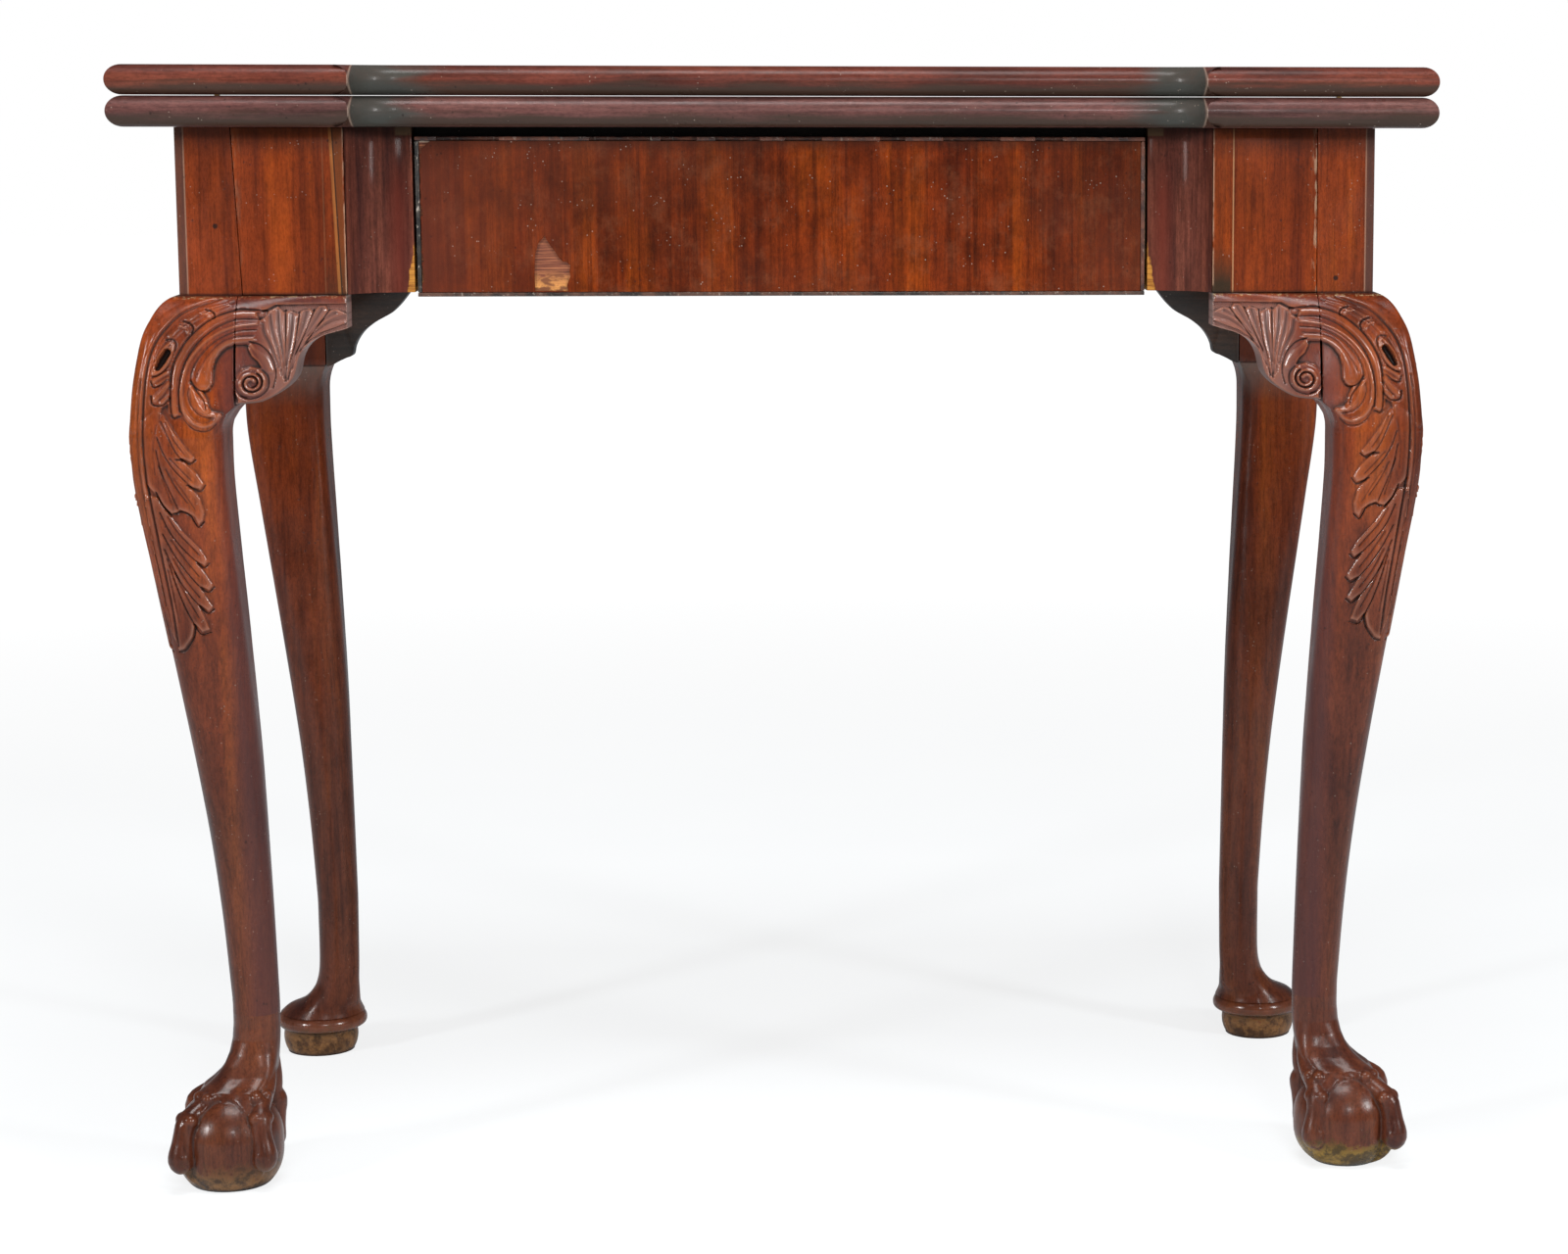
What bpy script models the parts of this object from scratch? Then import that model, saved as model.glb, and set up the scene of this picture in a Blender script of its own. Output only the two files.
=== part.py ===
"""Card table with a folding top, a swinging rear leg and a frieze drawer.

Metres, +Z up, front towards -Y, floor at Z = 0, origin under the middle of the table.
"""
import math

import bmesh
import bpy
from mathutils import Matrix, Vector

# Top leaves
LEAF_WIDTH = 0.840
LEAF_DEPTH = 0.420
LEAF_THICKNESS = 0.0186
LEAF_GAP = 0.0016
TABLE_HEIGHT = 0.7338
EAR_WIDTH = 0.1498
RECESS = 0.030
LEAF_BULLNOSE_FLAT = 0.0001
OVERHANG_FRONT = 0.032
OVERHANG_SIDE = 0.0363
OVERHANG_REAR = 0.016

# Frieze
FRIEZE_HEIGHT = 0.1065
FRONT_STILE = 0.0373
REAR_STILE = 0.0475
BLOCK_WIDTH = 0.0685
CHEEK_WIDTH = 0.0395
RAIL_THICKNESS = 0.020
FLAT_RAIL_WIDTH = 0.058
BOTTOM_RAIL_THICKNESS = 0.017
TOP_RAIL_THICKNESS = 0.014
HOUSING_DEPTH = 0.006
TENON_LENGTH = 0.020
TENON_THICKNESS = 0.008
TENON_SHOULDER = 0.014
STILE_ARRIS = 0.0010

# Legs, as offsets from the stile's outer corner towards the table's middle
KNEE_DROP = 0.0885
ANKLE_HEIGHT = 0.120
FRONT_KNEE_BULGE = 0.0298
FRONT_KNEE_INNER = 0.0280
FRONT_ANKLE_OUTER = 0.0136
FRONT_ANKLE_INNER = 0.0442
REAR_KNEE_BULGE = 0.0140
REAR_KNEE_INNER = 0.0432
REAR_ANKLE_OUTER = 0.0295
REAR_ANKLE_INNER = 0.0592
FRONT_FOOT_INSET = 0.0130
REAR_FOOT_INSET = 0.0305
BALL_RADIUS = 0.035
BALL_CENTRE_HEIGHT = 0.030
PAD_RADIUS = 0.032

# Knee brackets
BRACKET_LENGTH = 0.0680
BRACKET_DROP = 0.0695
BRACKET_THICKNESS = 0.022
REAR_BRACKET_LENGTH = 0.074
REAR_BRACKET_DROP = 0.070
REAR_BRACKET_THICKNESS = 0.018

# Swinging leg's knuckle
KNUCKLE_FROM_MIDDLE = 0.030
KNUCKLE_RADIUS = 0.010
KNUCKLE_RELIEF = 0.0006
KNUCKLE_PLAY = 0.0005
KNUCKLE_ROOT = 0.004
GATE_PIN_RADIUS = 0.003

# Drawer
DRAWER_FRONT_THICKNESS = 0.018
DRAWER_SLOT = 0.0064
DRAWER_HANG = 0.0029
DRAWER_SIDE_GAP = 0.0019
DRAWER_RUNNING = 0.0012
DRAWER_BACK_GAP = 0.002
DRAWER_SIDE_THICKNESS = 0.010
DRAWER_BOTTOM_THICKNESS = 0.006
DRAWER_GROOVE = 0.004
DRAWER_BOTTOM_LIFT = 0.007
DRAWER_BOX_INSET = 0.0080
VENEER = 0.0010
BEAD_WIDTH = 0.0025
BEAD_DEPTH = 0.012
BEAD_PROUD = 0.0004
TAIL_LENGTH = 0.011
GUIDE_WIDTH = 0.014
GUIDE_HEIGHT = 0.016
RUNNER_WIDTH = 0.034
KICKER_WIDTH = 0.021
PATCH_LEFT = 0.161
PATCH_RIGHT = 0.138
PATCH_PEAK = 0.154
PATCH_NOTCH = 0.147
PATCH_HEIGHT = 0.034
PATCH_MID_HEIGHT = 0.021
PATCH_LOW_HEIGHT = 0.017
PATCH_FOOT = 0.004

# Brass leaf hinges and fasteners
HINGE_PLATE = 0.0033
HINGE_LENGTH = 0.060
HINGE_HALF_HEIGHT = 0.0068
EYE_RADIUS = 0.0040
EYE_PLAY = 0.0004
EYE_LAP = 0.0003
HINGE_PIN_RADIUS = 0.0015
PIVOT_CLEARANCE = 0.0002
HINGE_SCREW_FIRST = 0.020
HINGE_SCREW_SECOND = 0.046
SCREW_HEAD_RADIUS = 0.0028
SCREW_HEAD_HEIGHT = 0.0018
SCREW_SHANK_RADIUS = 0.0014
HINGE_SCREW_LENGTH = 0.013
LEAF_SCREW_LENGTH = 0.026
SCREW_SINK = 0.0010
LEAF_SCREW_SPACING = 0.150
KICKER_SCREW_BACK = 0.130

# Where the square stile ends beside the knee, as a share of the knee's drop
SHOULDER_DROP_SHARE = 0.785

# Clearances and overruns
SEAT = 0.0003
CUT = 0.002

# Levels derived from the sizes above
LEAF_FRONT_Y = -(LEAF_DEPTH + EYE_RADIUS) / 2
HINGE_Y = LEAF_FRONT_Y + LEAF_DEPTH
UPPER_LEAF_BOTTOM = TABLE_HEIGHT - LEAF_THICKNESS
LOWER_LEAF_TOP = UPPER_LEAF_BOTTOM - LEAF_GAP
LOWER_LEAF_BOTTOM = LOWER_LEAF_TOP - LEAF_THICKNESS
HINGE_Z = (UPPER_LEAF_BOTTOM + LOWER_LEAF_TOP) / 2
FRIEZE_TOP = LOWER_LEAF_BOTTOM - SEAT
FRIEZE_BOTTOM = LOWER_LEAF_BOTTOM - FRIEZE_HEIGHT
FRIEZE_X = LEAF_WIDTH / 2 - OVERHANG_SIDE
FRIEZE_FRONT_Y = LEAF_FRONT_Y + OVERHANG_FRONT
FRIEZE_REAR_Y = HINGE_Y - OVERHANG_REAR
DRAWER_FACE_Y = FRIEZE_FRONT_Y + RECESS
FLAT_RAIL_Y = DRAWER_FACE_Y + DRAWER_FRONT_THICKNESS + SEAT
FRONT_STILE_X = FRIEZE_X - FRONT_STILE
FRONT_STILE_REAR_Y = FRIEZE_FRONT_Y + FRONT_STILE
KNEE_HEIGHT = FRIEZE_BOTTOM - KNEE_DROP
SHOULDER_HEIGHT = FRIEZE_BOTTOM - KNEE_DROP * SHOULDER_DROP_SHARE
REAR_STILE_X = FRIEZE_X - REAR_STILE
REAR_STILE_Y = FRIEZE_REAR_Y - REAR_STILE
SIDE_RAIL_X = FRIEZE_X - RAIL_THICKNESS
INNER_RAIL_Y = REAR_STILE_Y - SEAT - RAIL_THICKNESS
FLY_RAIL_Y = REAR_STILE_Y + SEAT
BLOCK_X = FRONT_STILE_X - BLOCK_WIDTH
CHEEK_X = BLOCK_X - CHEEK_WIDTH
DRAWER_X = CHEEK_X - DRAWER_SIDE_GAP
DRAWER_TOP = LOWER_LEAF_BOTTOM - DRAWER_SLOT
DRAWER_LOW = FRIEZE_BOTTOM - DRAWER_HANG
RUNNER_TOP = FRIEZE_BOTTOM + BOTTOM_RAIL_THICKNESS
KICKER_LOW = FRIEZE_TOP - TOP_RAIL_THICKNESS
DRAWER_BOX_X = DRAWER_X - DRAWER_BOX_INSET
DRAWER_BOX_LOW = RUNNER_TOP + SEAT
DRAWER_BOX_TOP = KICKER_LOW - DRAWER_RUNNING
DRAWER_FRONT_REAR_Y = DRAWER_FACE_Y + DRAWER_FRONT_THICKNESS
DRAWER_BACK_Y = INNER_RAIL_Y - DRAWER_BACK_GAP
GUIDE_X = DRAWER_BOX_X + SEAT
RUNNER_X = GUIDE_X + GUIDE_WIDTH - RUNNER_WIDTH
KNUCKLE_X = -KNUCKLE_FROM_MIDDLE
KNUCKLE_Y = FLY_RAIL_Y + RAIL_THICKNESS / 2
HINGE_PLATE_X = LEAF_WIDTH / 2 - HINGE_PLATE
HINGE_LAP_X = LEAF_WIDTH / 2 - HINGE_PLATE / 2

# Shapes as shares of the sizes that they follow, chosen by eye
LEG_OUTER_SHARES = [(0, 0), (0.08, 0.035), (0.22, 0.21), (0.48, 0.53), (0.70, 0.78), (0.85, 0.91), (1, 1)]
LEG_INNER_SHARES = [(0, 0), (0.08, 0.015), (0.22, 0.21), (0.38, 0.465), (0.58, 0.745), (0.78, 0.89), (1, 1)]
LEG_ROUND_SHARES = [(0, 0.34), (0.25, 0.42), (0.60, 0.75), (0.85, 1), (1, 1)]
# Web over the ball: height share of the ankle, lean towards the foot's centre, half width in ball radii
WEB_SHARES = [(0.82, 0, 0.43), (0.68, 0.12, 0.50), (0.58, 0.42, 0.66), (0.50, 0.75, 0.80), (0.44, 1, 0.80)]
# Flare over the pad: the same, with the half width in pad radii
FLARE_SHARES = [(0.64, 0, 0.46), (0.50, 0.18, 0.52), (0.40, 0.50, 0.64), (0.315, 0.88, 0.78), (0.25, 1, 0.86)]
# One claw in ball radii: distance from the foot's axis, height, tube radius, lean back to the ankle
CLAW_SHARES = [
    (0.30, 2.46, 0.20, 1),
    (0.48, 2.12, 0.22, 0.85),
    (0.66, 1.84, 0.25, 0.52),
    (0.90, 1.64, 0.20, 0.22),
    (1.10, 1.44, 0.235, 0.05),
    (1.13, 1.00, 0.19, 0),
    (1.14, 0.62, 0.22, 0),
    (1.05, 0.28, 0.15, 0),
    (0.92, 0.12, 0.09, 0),
]
# Pad foot's outer side, top to bottom, in pad radii
PAD_SHARES = [(0, 1.02), (0.84, 0.94), (0.95, 0.87), (1, 0.72), (0.96, 0.57), (0.85, 0.51), (0.83, 0.34), (0.76, 0), (0, 0)]
# Lower edges of the knee brackets: share of the length from the leg, share of the drop
BRACKET_EDGE_SHARES = [
    (0, 1), (0.13, 1), (0.23, 0.985), (0.33, 0.93), (0.41, 0.845), (0.465, 0.77),
    (0.50, 0.64), (0.60, 0.495), (0.77, 0.385), (1, 0.33),
]
REAR_BRACKET_EDGE_SHARES = [
    (0, 1), (0.09, 1), (0.17, 0.93), (0.255, 0.89), (0.275, 0.78), (0.365, 0.64),
    (0.50, 0.53), (0.65, 0.44), (0.80, 0.26), (0.92, 0.09), (1, 0.04),
]
BRACKET_SWELL_SHARE = 0.12
BRACKET_SWELL_FALL = 1.5
TAIL_WIDE_SHARE = 0.62
TAIL_NARROW_SHARE = 0.42

# Counts
CORNER_POINTS = 4
KNEE_STATIONS = 5
LEG_STATIONS = 9
SHOULDER_STATIONS = 3
COVE_STEPS = 8
CHEEK_STEPS = 10
BULLNOSE_SEGMENTS = 5
BALL_SEGMENTS = 20
BALL_RINGS = 12
CLAWS = 4
PAD_STEPS = 24
ROUND_STEPS = 16
SCREW_STEPS = 10
KNUCKLE_FINGERS = 5
DRAWER_TAILS = 3
BRACKET_ROWS = 5
SIDES = {"left": -1, "right": 1}


def clear_scene():
    for item in list(bpy.data.objects):
        bpy.data.objects.remove(item, do_unlink=True)


def make_collection(name):
    collection = bpy.data.collections.new(name)
    bpy.context.scene.collection.children.link(collection)
    return collection


def make_material(name, color, roughness, metallic=0.0):
    material = bpy.data.materials.new(name)
    material.use_nodes = True
    shader = material.node_tree.nodes["Principled BSDF"]
    shader.inputs["Base Color"].default_value = (*color, 1.0)
    shader.inputs["Roughness"].default_value = roughness
    shader.inputs["Metallic"].default_value = metallic
    return material


clear_scene()
PARTS = make_collection("card_table")
CUTTERS = make_collection("cutters")
MAHOGANY = make_material("mahogany", (0.115, 0.028, 0.016), 0.38)
VENEERED = make_material("figured_veneer", (0.230, 0.052, 0.020), 0.42)
OAK = make_material("oak", (0.300, 0.190, 0.100), 0.62)
PINE = make_material("pine", (0.460, 0.300, 0.150), 0.65)
BRASS = make_material("brass", (0.560, 0.390, 0.140), 0.34, 1.0)
IRON = make_material("iron", (0.110, 0.100, 0.095), 0.52, 1.0)


def make_pivot(name, location):
    pivot = bpy.data.objects.new(name, None)
    pivot.location = location
    PARTS.objects.link(pivot)
    return pivot


UPPER_PIVOT = make_pivot("upper_leaf_pivot", (0, HINGE_Y, HINGE_Z))
GATE_PIVOT = make_pivot("gate_pivot", (KNUCKLE_X, KNUCKLE_Y, FRIEZE_BOTTOM))
DRAWER_PIVOT = make_pivot("drawer_pivot", (0, DRAWER_FACE_Y, DRAWER_LOW))


def add_piece(name, bm, material, pivot=None):
    """Links a finished mesh as a named piece whose origin is its own middle."""
    bmesh.ops.recalc_face_normals(bm, faces=bm.faces)
    lows = [min(v.co[i] for v in bm.verts) for i in range(3)]
    highs = [max(v.co[i] for v in bm.verts) for i in range(3)]
    middle = (Vector(lows) + Vector(highs)) / 2
    bmesh.ops.translate(bm, vec=-middle, verts=bm.verts)
    mesh = bpy.data.meshes.new(name)
    bm.to_mesh(mesh)
    bm.free()
    mesh.materials.append(material)
    piece = bpy.data.objects.new(name, mesh)
    piece.location = middle
    if pivot:
        piece.parent = pivot
        piece.location = middle - pivot.location
    PARTS.objects.link(piece)
    return piece


def add_cutter(name, bm):
    bmesh.ops.recalc_face_normals(bm, faces=bm.faces)
    mesh = bpy.data.meshes.new(name)
    bm.to_mesh(mesh)
    bm.free()
    cutter = bpy.data.objects.new(name, mesh)
    cutter.hide_render = True
    cutter.display_type = "WIRE"
    CUTTERS.objects.link(cutter)
    return cutter


def apply_boolean(piece, bm, operation="DIFFERENCE"):
    name = f"{piece.name}_{operation.lower()}_{len(piece.modifiers)}"
    modifier = piece.modifiers.new(name, "BOOLEAN")
    modifier.operation = operation
    modifier.solver = "EXACT"
    modifier.object = add_cutter(name, bm)


def smooth(piece, degrees=35):
    piece.data.shade_smooth()
    piece.data.set_sharp_from_angle(angle=math.radians(degrees))


def add_box(bm, low, high):
    low, high = Vector(low), Vector(high)
    place = Matrix.Translation((low + high) / 2) @ Matrix.Diagonal((*(high - low), 1))
    bmesh.ops.create_cube(bm, size=1, matrix=place)


def box(low, high):
    bm = bmesh.new()
    add_box(bm, low, high)
    return bm


def mirrored_box(side, low, high):
    """A box given for the right side, mirrored for side -1."""
    x_low, x_high = sorted((side * low[0], side * high[0]))
    return box((x_low, low[1], low[2]), (x_high, high[1], high[2]))


def grown(low, high, margin=SEAT):
    return [v - margin for v in low], [v + margin for v in high]


def add_cylinder(bm, centre, axis, radius, length, steps=ROUND_STEPS):
    turn = Vector((0, 0, 1)).rotation_difference(Vector(axis)).to_matrix().to_4x4()
    bmesh.ops.create_cone(
        bm, cap_ends=True, segments=steps, radius1=radius, radius2=radius, depth=length,
        matrix=Matrix.Translation(centre) @ turn,
    )


def cylinder(centre, axis, radius, length, steps=ROUND_STEPS):
    bm = bmesh.new()
    add_cylinder(bm, centre, axis, radius, length, steps)
    return bm


def prism(outline, direction, depth):
    """A flat outline of 3-D points pushed along direction by depth."""
    bm = bmesh.new()
    face = bm.faces.new([bm.verts.new(point) for point in outline])
    grown_part = bmesh.ops.extrude_face_region(bm, geom=[face])
    moved = [v for v in grown_part["geom"] if isinstance(v, bmesh.types.BMVert)]
    bmesh.ops.translate(bm, vec=Vector(direction) * depth, verts=moved)
    return bm


def turned_mesh(profile, steps):
    """A mesh turned about Z from a profile at +X that runs from top to bottom."""
    mesh = bpy.data.meshes.new("profile")
    points = [(radius, 0, height) for radius, height in profile]
    mesh.from_pydata(points, [(i, i + 1) for i in range(len(points) - 1)], [])
    blank = bpy.data.objects.new("profile", mesh)
    PARTS.objects.link(blank)
    screw = blank.modifiers.new("turn", "SCREW")
    screw.steps = steps
    screw.render_steps = steps
    screw.use_merge_vertices = True
    screw.merge_threshold = 0.0001
    bpy.context.view_layer.update()
    turned = bpy.data.meshes.new_from_object(blank.evaluated_get(bpy.context.evaluated_depsgraph_get()))
    bpy.data.objects.remove(blank, do_unlink=True)
    return turned


def group_of(mesh, places):
    bm = bmesh.new()
    for place in places:
        before = len(bm.verts)
        bm.from_mesh(mesh)
        bm.verts.ensure_lookup_table()
        bmesh.ops.transform(bm, matrix=place, verts=bm.verts[before:])
    return bm


def eased(share, table):
    """Smooth curve through a table of shares, with slopes taken from the neighbours."""
    for index in range(len(table) - 1):
        x0, y0 = table[index]
        x1, y1 = table[index + 1]
        if share <= x1:
            break
    before = table[index - 1] if index else (x0, y0)
    after = table[index + 2] if index + 2 < len(table) else (x1, y1)
    slope0 = (y1 - before[1]) / (x1 - before[0])
    slope1 = (after[1] - y0) / (after[0] - x0)
    width = x1 - x0
    t = (share - x0) / width
    value = y0 * (1 + 2 * t) * (1 - t) ** 2 + y1 * (3 - 2 * t) * t ** 2
    return value + width * (slope0 * t * (1 - t) ** 2 - slope1 * t ** 2 * (1 - t))


def straight(share, table):
    """Straight runs through a table of shares."""
    for (x0, y0), (x1, y1) in zip(table, table[1:]):
        if share <= x1:
            return y0 + (y1 - y0) * (share - x0) / (x1 - x0)
    return table[-1][1]


# The two leaves

def leaf_outline():
    half, ear = LEAF_WIDTH / 2, LEAF_WIDTH / 2 - EAR_WIDTH
    rear = HINGE_Y - PIVOT_CLEARANCE
    right = [(half, rear), (half, LEAF_FRONT_Y)]
    for step in range(COVE_STEPS + 1):
        turn = math.pi / 2 * step / COVE_STEPS
        right.append((ear - RECESS + RECESS * math.cos(turn), LEAF_FRONT_Y + RECESS * math.sin(turn)))
    left = [(-x, y) for x, y in reversed(right)]
    return right + left


def leaf_blank(bottom):
    bm = prism([(x, y, bottom) for x, y in leaf_outline()], (0, 0, 1), LEAF_THICKNESS)
    rear = HINGE_Y - PIVOT_CLEARANCE
    rounded = []
    for edge in bm.edges:
        ends = [v.co for v in edge.verts]
        level = abs(ends[0].z - ends[1].z) < SEAT
        at_rear = all(abs(end.y - rear) < SEAT for end in ends)
        if level and not at_rear:
            rounded.append(edge)
    bmesh.ops.bevel(
        bm, geom=rounded, offset=(LEAF_THICKNESS - LEAF_BULLNOSE_FLAT) / 2, offset_type="OFFSET",
        segments=BULLNOSE_SEGMENTS, profile=0.5, affect="EDGES", clamp_overlap=False,
    )
    return bm


def screw_mesh(length, margin=0.0):
    """A countersunk screw along +Z whose head face is at Z = 0."""
    head = SCREW_HEAD_RADIUS + margin
    shank = SCREW_SHANK_RADIUS + margin
    top = -margin
    profile = [
        (0, length + margin), (shank * 0.5, length + margin), (shank, length - shank + margin),
        (shank, SCREW_HEAD_HEIGHT), (head, 0), (head, top), (0, top),
    ]
    if not margin:
        profile.remove((head, top))
    return turned_mesh(profile, SCREW_STEPS)


def hinge_screw_places(middle_z):
    places = {}
    for word, side in SIDES.items():
        turn = Vector((0, 0, 1)).rotation_difference(Vector((-side, 0, 0))).to_matrix().to_4x4()
        for end, back in (("rear", HINGE_SCREW_FIRST), ("front", HINGE_SCREW_SECOND)):
            head = Vector((side * (LEAF_WIDTH / 2 - SCREW_SINK), HINGE_Y - back, middle_z))
            places[f"{word}_{end}"] = Matrix.Translation(head) @ turn
    return places


def leaf_screw_places():
    rail_y = FLAT_RAIL_Y + FLAT_RAIL_WIDTH / 2
    kicker_x = DRAWER_BOX_X + SEAT - KICKER_WIDTH / 2
    spots = {
        "front_left": (-LEAF_SCREW_SPACING, rail_y),
        "front_middle": (0, rail_y),
        "front_right": (LEAF_SCREW_SPACING, rail_y),
        "rear_left": (-kicker_x, rail_y + KICKER_SCREW_BACK),
        "rear_right": (kicker_x, rail_y + KICKER_SCREW_BACK),
    }
    level = KICKER_LOW + SCREW_SINK
    return {word: Matrix.Translation((x, y, level)) for word, (x, y) in spots.items()}


def screw_holes(length, places):
    """One cutter with a hole for every screw."""
    return group_of(screw_mesh(length, SEAT), places.values())


def make_screws(name, length, places, material, pivot=None):
    mesh = screw_mesh(length)
    for word, place in places.items():
        smooth(add_piece(f"{name}_{word}", group_of(mesh, [place]), material, pivot))


def make_leaf(name, bottom, pivot=None):
    leaf = add_piece(name, leaf_blank(bottom), MAHOGANY, pivot)
    middle = bottom + LEAF_THICKNESS / 2
    for side in SIDES.values():
        pocket = mirrored_box(
            side,
            (HINGE_PLATE_X - SEAT, HINGE_Y - HINGE_LENGTH - SEAT, bottom - CUT),
            (LEAF_WIDTH / 2 + CUT, HINGE_Y + CUT, bottom + LEAF_THICKNESS + CUT),
        )
        apply_boolean(leaf, pocket)
    apply_boolean(leaf, screw_holes(HINGE_SCREW_LENGTH, hinge_screw_places(middle)))
    smooth(leaf)
    return leaf


def make_hinge_plate(name, side, bottom, level, pivot=None):
    """One brass plate filed to the leaf's rounded end; level 0 is the lower leaf's, 1 the upper's."""
    middle = bottom + LEAF_THICKNESS / 2
    towards = 1 if level == 0 else -1
    plate = add_piece(name, leaf_blank(bottom), BRASS, pivot)
    blank = mirrored_box(
        side,
        (HINGE_PLATE_X, HINGE_Y - HINGE_LENGTH, middle - HINGE_HALF_HEIGHT),
        (LEAF_WIDTH / 2 + CUT, HINGE_Y + CUT, middle + HINGE_HALF_HEIGHT),
    )
    apply_boolean(plate, blank, "INTERSECT")
    own = (HINGE_PLATE_X, HINGE_LAP_X - EYE_LAP / 2) if level == 0 else (HINGE_LAP_X + EYE_LAP / 2, LEAF_WIDTH / 2 - EYE_LAP)
    other = (HINGE_LAP_X - EYE_LAP / 2, LEAF_WIDTH / 2 + CUT) if level == 0 else (HINGE_PLATE_X - CUT, HINGE_LAP_X + EYE_LAP / 2)
    relief_middle = side * (other[0] + other[1]) / 2
    relief = cylinder(
        (relief_middle, HINGE_Y, HINGE_Z), (1, 0, 0), EYE_RADIUS + EYE_PLAY, other[1] - other[0],
    )
    apply_boolean(plate, relief)
    eye_middle = side * (own[0] + own[1]) / 2
    eye = cylinder((eye_middle, HINGE_Y, HINGE_Z), (1, 0, 0), EYE_RADIUS, own[1] - own[0])
    apply_boolean(plate, eye, "UNION")
    neck_end = HINGE_Z - towards * LEAF_GAP / 2
    neck_low, neck_high = sorted((middle, neck_end))
    neck = mirrored_box(
        side,
        (own[0], HINGE_Y - EYE_RADIUS + SEAT, neck_low),
        (own[1], HINGE_Y - PIVOT_CLEARANCE, neck_high),
    )
    apply_boolean(plate, neck, "UNION")
    hole = cylinder(
        (side * LEAF_WIDTH / 2, HINGE_Y, HINGE_Z), (1, 0, 0), HINGE_PIN_RADIUS + SEAT, HINGE_PLATE * 3,
    )
    apply_boolean(plate, hole)
    apply_boolean(plate, screw_holes(HINGE_SCREW_LENGTH, hinge_screw_places(middle)))
    smooth(plate)
    return plate


def make_hinges():
    for word, side in SIDES.items():
        make_hinge_plate(f"hinge_plate_lower_{word}", side, LOWER_LEAF_BOTTOM, 0)
        make_hinge_plate(f"hinge_plate_upper_{word}", side, UPPER_LEAF_BOTTOM, 1, UPPER_PIVOT)
        length = HINGE_PLATE - EYE_LAP
        middle = side * (HINGE_PLATE_X + length / 2)
        pin = cylinder((middle, HINGE_Y, HINGE_Z), (1, 0, 0), HINGE_PIN_RADIUS, length, SCREW_STEPS)
        smooth(add_piece(f"hinge_pin_{word}", pin, BRASS))
    lower = hinge_screw_places(LOWER_LEAF_BOTTOM + LEAF_THICKNESS / 2)
    upper = hinge_screw_places(UPPER_LEAF_BOTTOM + LEAF_THICKNESS / 2)
    make_screws("hinge_screw_lower", HINGE_SCREW_LENGTH, lower, BRASS)
    make_screws("hinge_screw_upper", HINGE_SCREW_LENGTH, upper, BRASS, UPPER_PIVOT)


# Legs

def square_section(corner, inward, outer, inner, roundness, height):
    """Section between the offsets outer and inner on the diagonal from the stile's corner."""
    offset, half = (outer + inner) / 2, (inner - outer) / 2
    middle = (corner[0] + inward[0] * offset, corner[1] + inward[1] * offset)
    radius = min(max(half * roundness, STILE_ARRIS), half * LEG_ROUNDEST_SHARE)
    points = []
    for index in range(4):
        aim = math.pi / 4 + math.pi / 2 * index
        centre_x = middle[0] + math.copysign(half - radius, math.cos(aim))
        centre_y = middle[1] + math.copysign(half - radius, math.sin(aim))
        for step in range(CORNER_POINTS):
            turn = math.pi / 2 * (index + step / (CORNER_POINTS - 1))
            points.append((centre_x + radius * math.cos(turn), centre_y + radius * math.sin(turn), height))
    return points


# Round sections keep a hair of flat between their corner arcs, so that no two points meet
LEG_ROUNDEST_SHARE = 0.985


def leg_stations(stile, bulge, knee_inner, ankle_outer, ankle_inner):
    """Height, outer offset, inner offset and roundness of each section down to the ankle."""
    stile_round = STILE_ARRIS / stile
    stations = [(FRIEZE_TOP, 0, stile, stile_round), (FRIEZE_BOTTOM, 0, stile, stile_round)]
    rise = FRIEZE_BOTTOM - KNEE_HEIGHT
    knee_round = LEG_ROUND_SHARES[0][1]
    for step in range(1, KNEE_STATIONS + 1):
        turn = math.acos((SHOULDER_HEIGHT - KNEE_HEIGHT) / rise) * step / KNEE_STATIONS
        share = step / KNEE_STATIONS
        height = KNEE_HEIGHT + rise * math.cos(turn)
        stations.append((height, -bulge * math.sin(turn), stile, stile_round + (knee_round - stile_round) * share / 2))
    for step in range(1, SHOULDER_STATIONS + 1):
        share = step / SHOULDER_STATIONS
        height = SHOULDER_HEIGHT + (KNEE_HEIGHT - SHOULDER_HEIGHT) * share
        outer = -bulge * math.sqrt(1 - ((height - KNEE_HEIGHT) / rise) ** 2)
        inner = stile + (knee_inner - stile) * math.sin(math.pi / 2 * share)
        stations.append((height, outer, inner, knee_round * (1 + share) / 2))
    for step in range(1, LEG_STATIONS + 1):
        share = step / LEG_STATIONS
        height = KNEE_HEIGHT + (ANKLE_HEIGHT - KNEE_HEIGHT) * share
        outer = -bulge + (ankle_outer + bulge) * eased(share, LEG_OUTER_SHARES)
        inner = knee_inner + (ankle_inner - knee_inner) * eased(share, LEG_INNER_SHARES)
        stations.append((height, outer, inner, straight(share, LEG_ROUND_SHARES)))
    return stations


def foot_stations(shares, ankle_outer, ankle_inner, foot_inset, unit):
    ankle_middle, stations = (ankle_outer + ankle_inner) / 2, []
    for height_share, lean, half_share in shares:
        middle = ankle_middle + (foot_inset - ankle_middle) * lean
        half = unit * half_share
        stations.append((ANKLE_HEIGHT * height_share, middle - half, middle + half, 1))
    return stations


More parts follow.
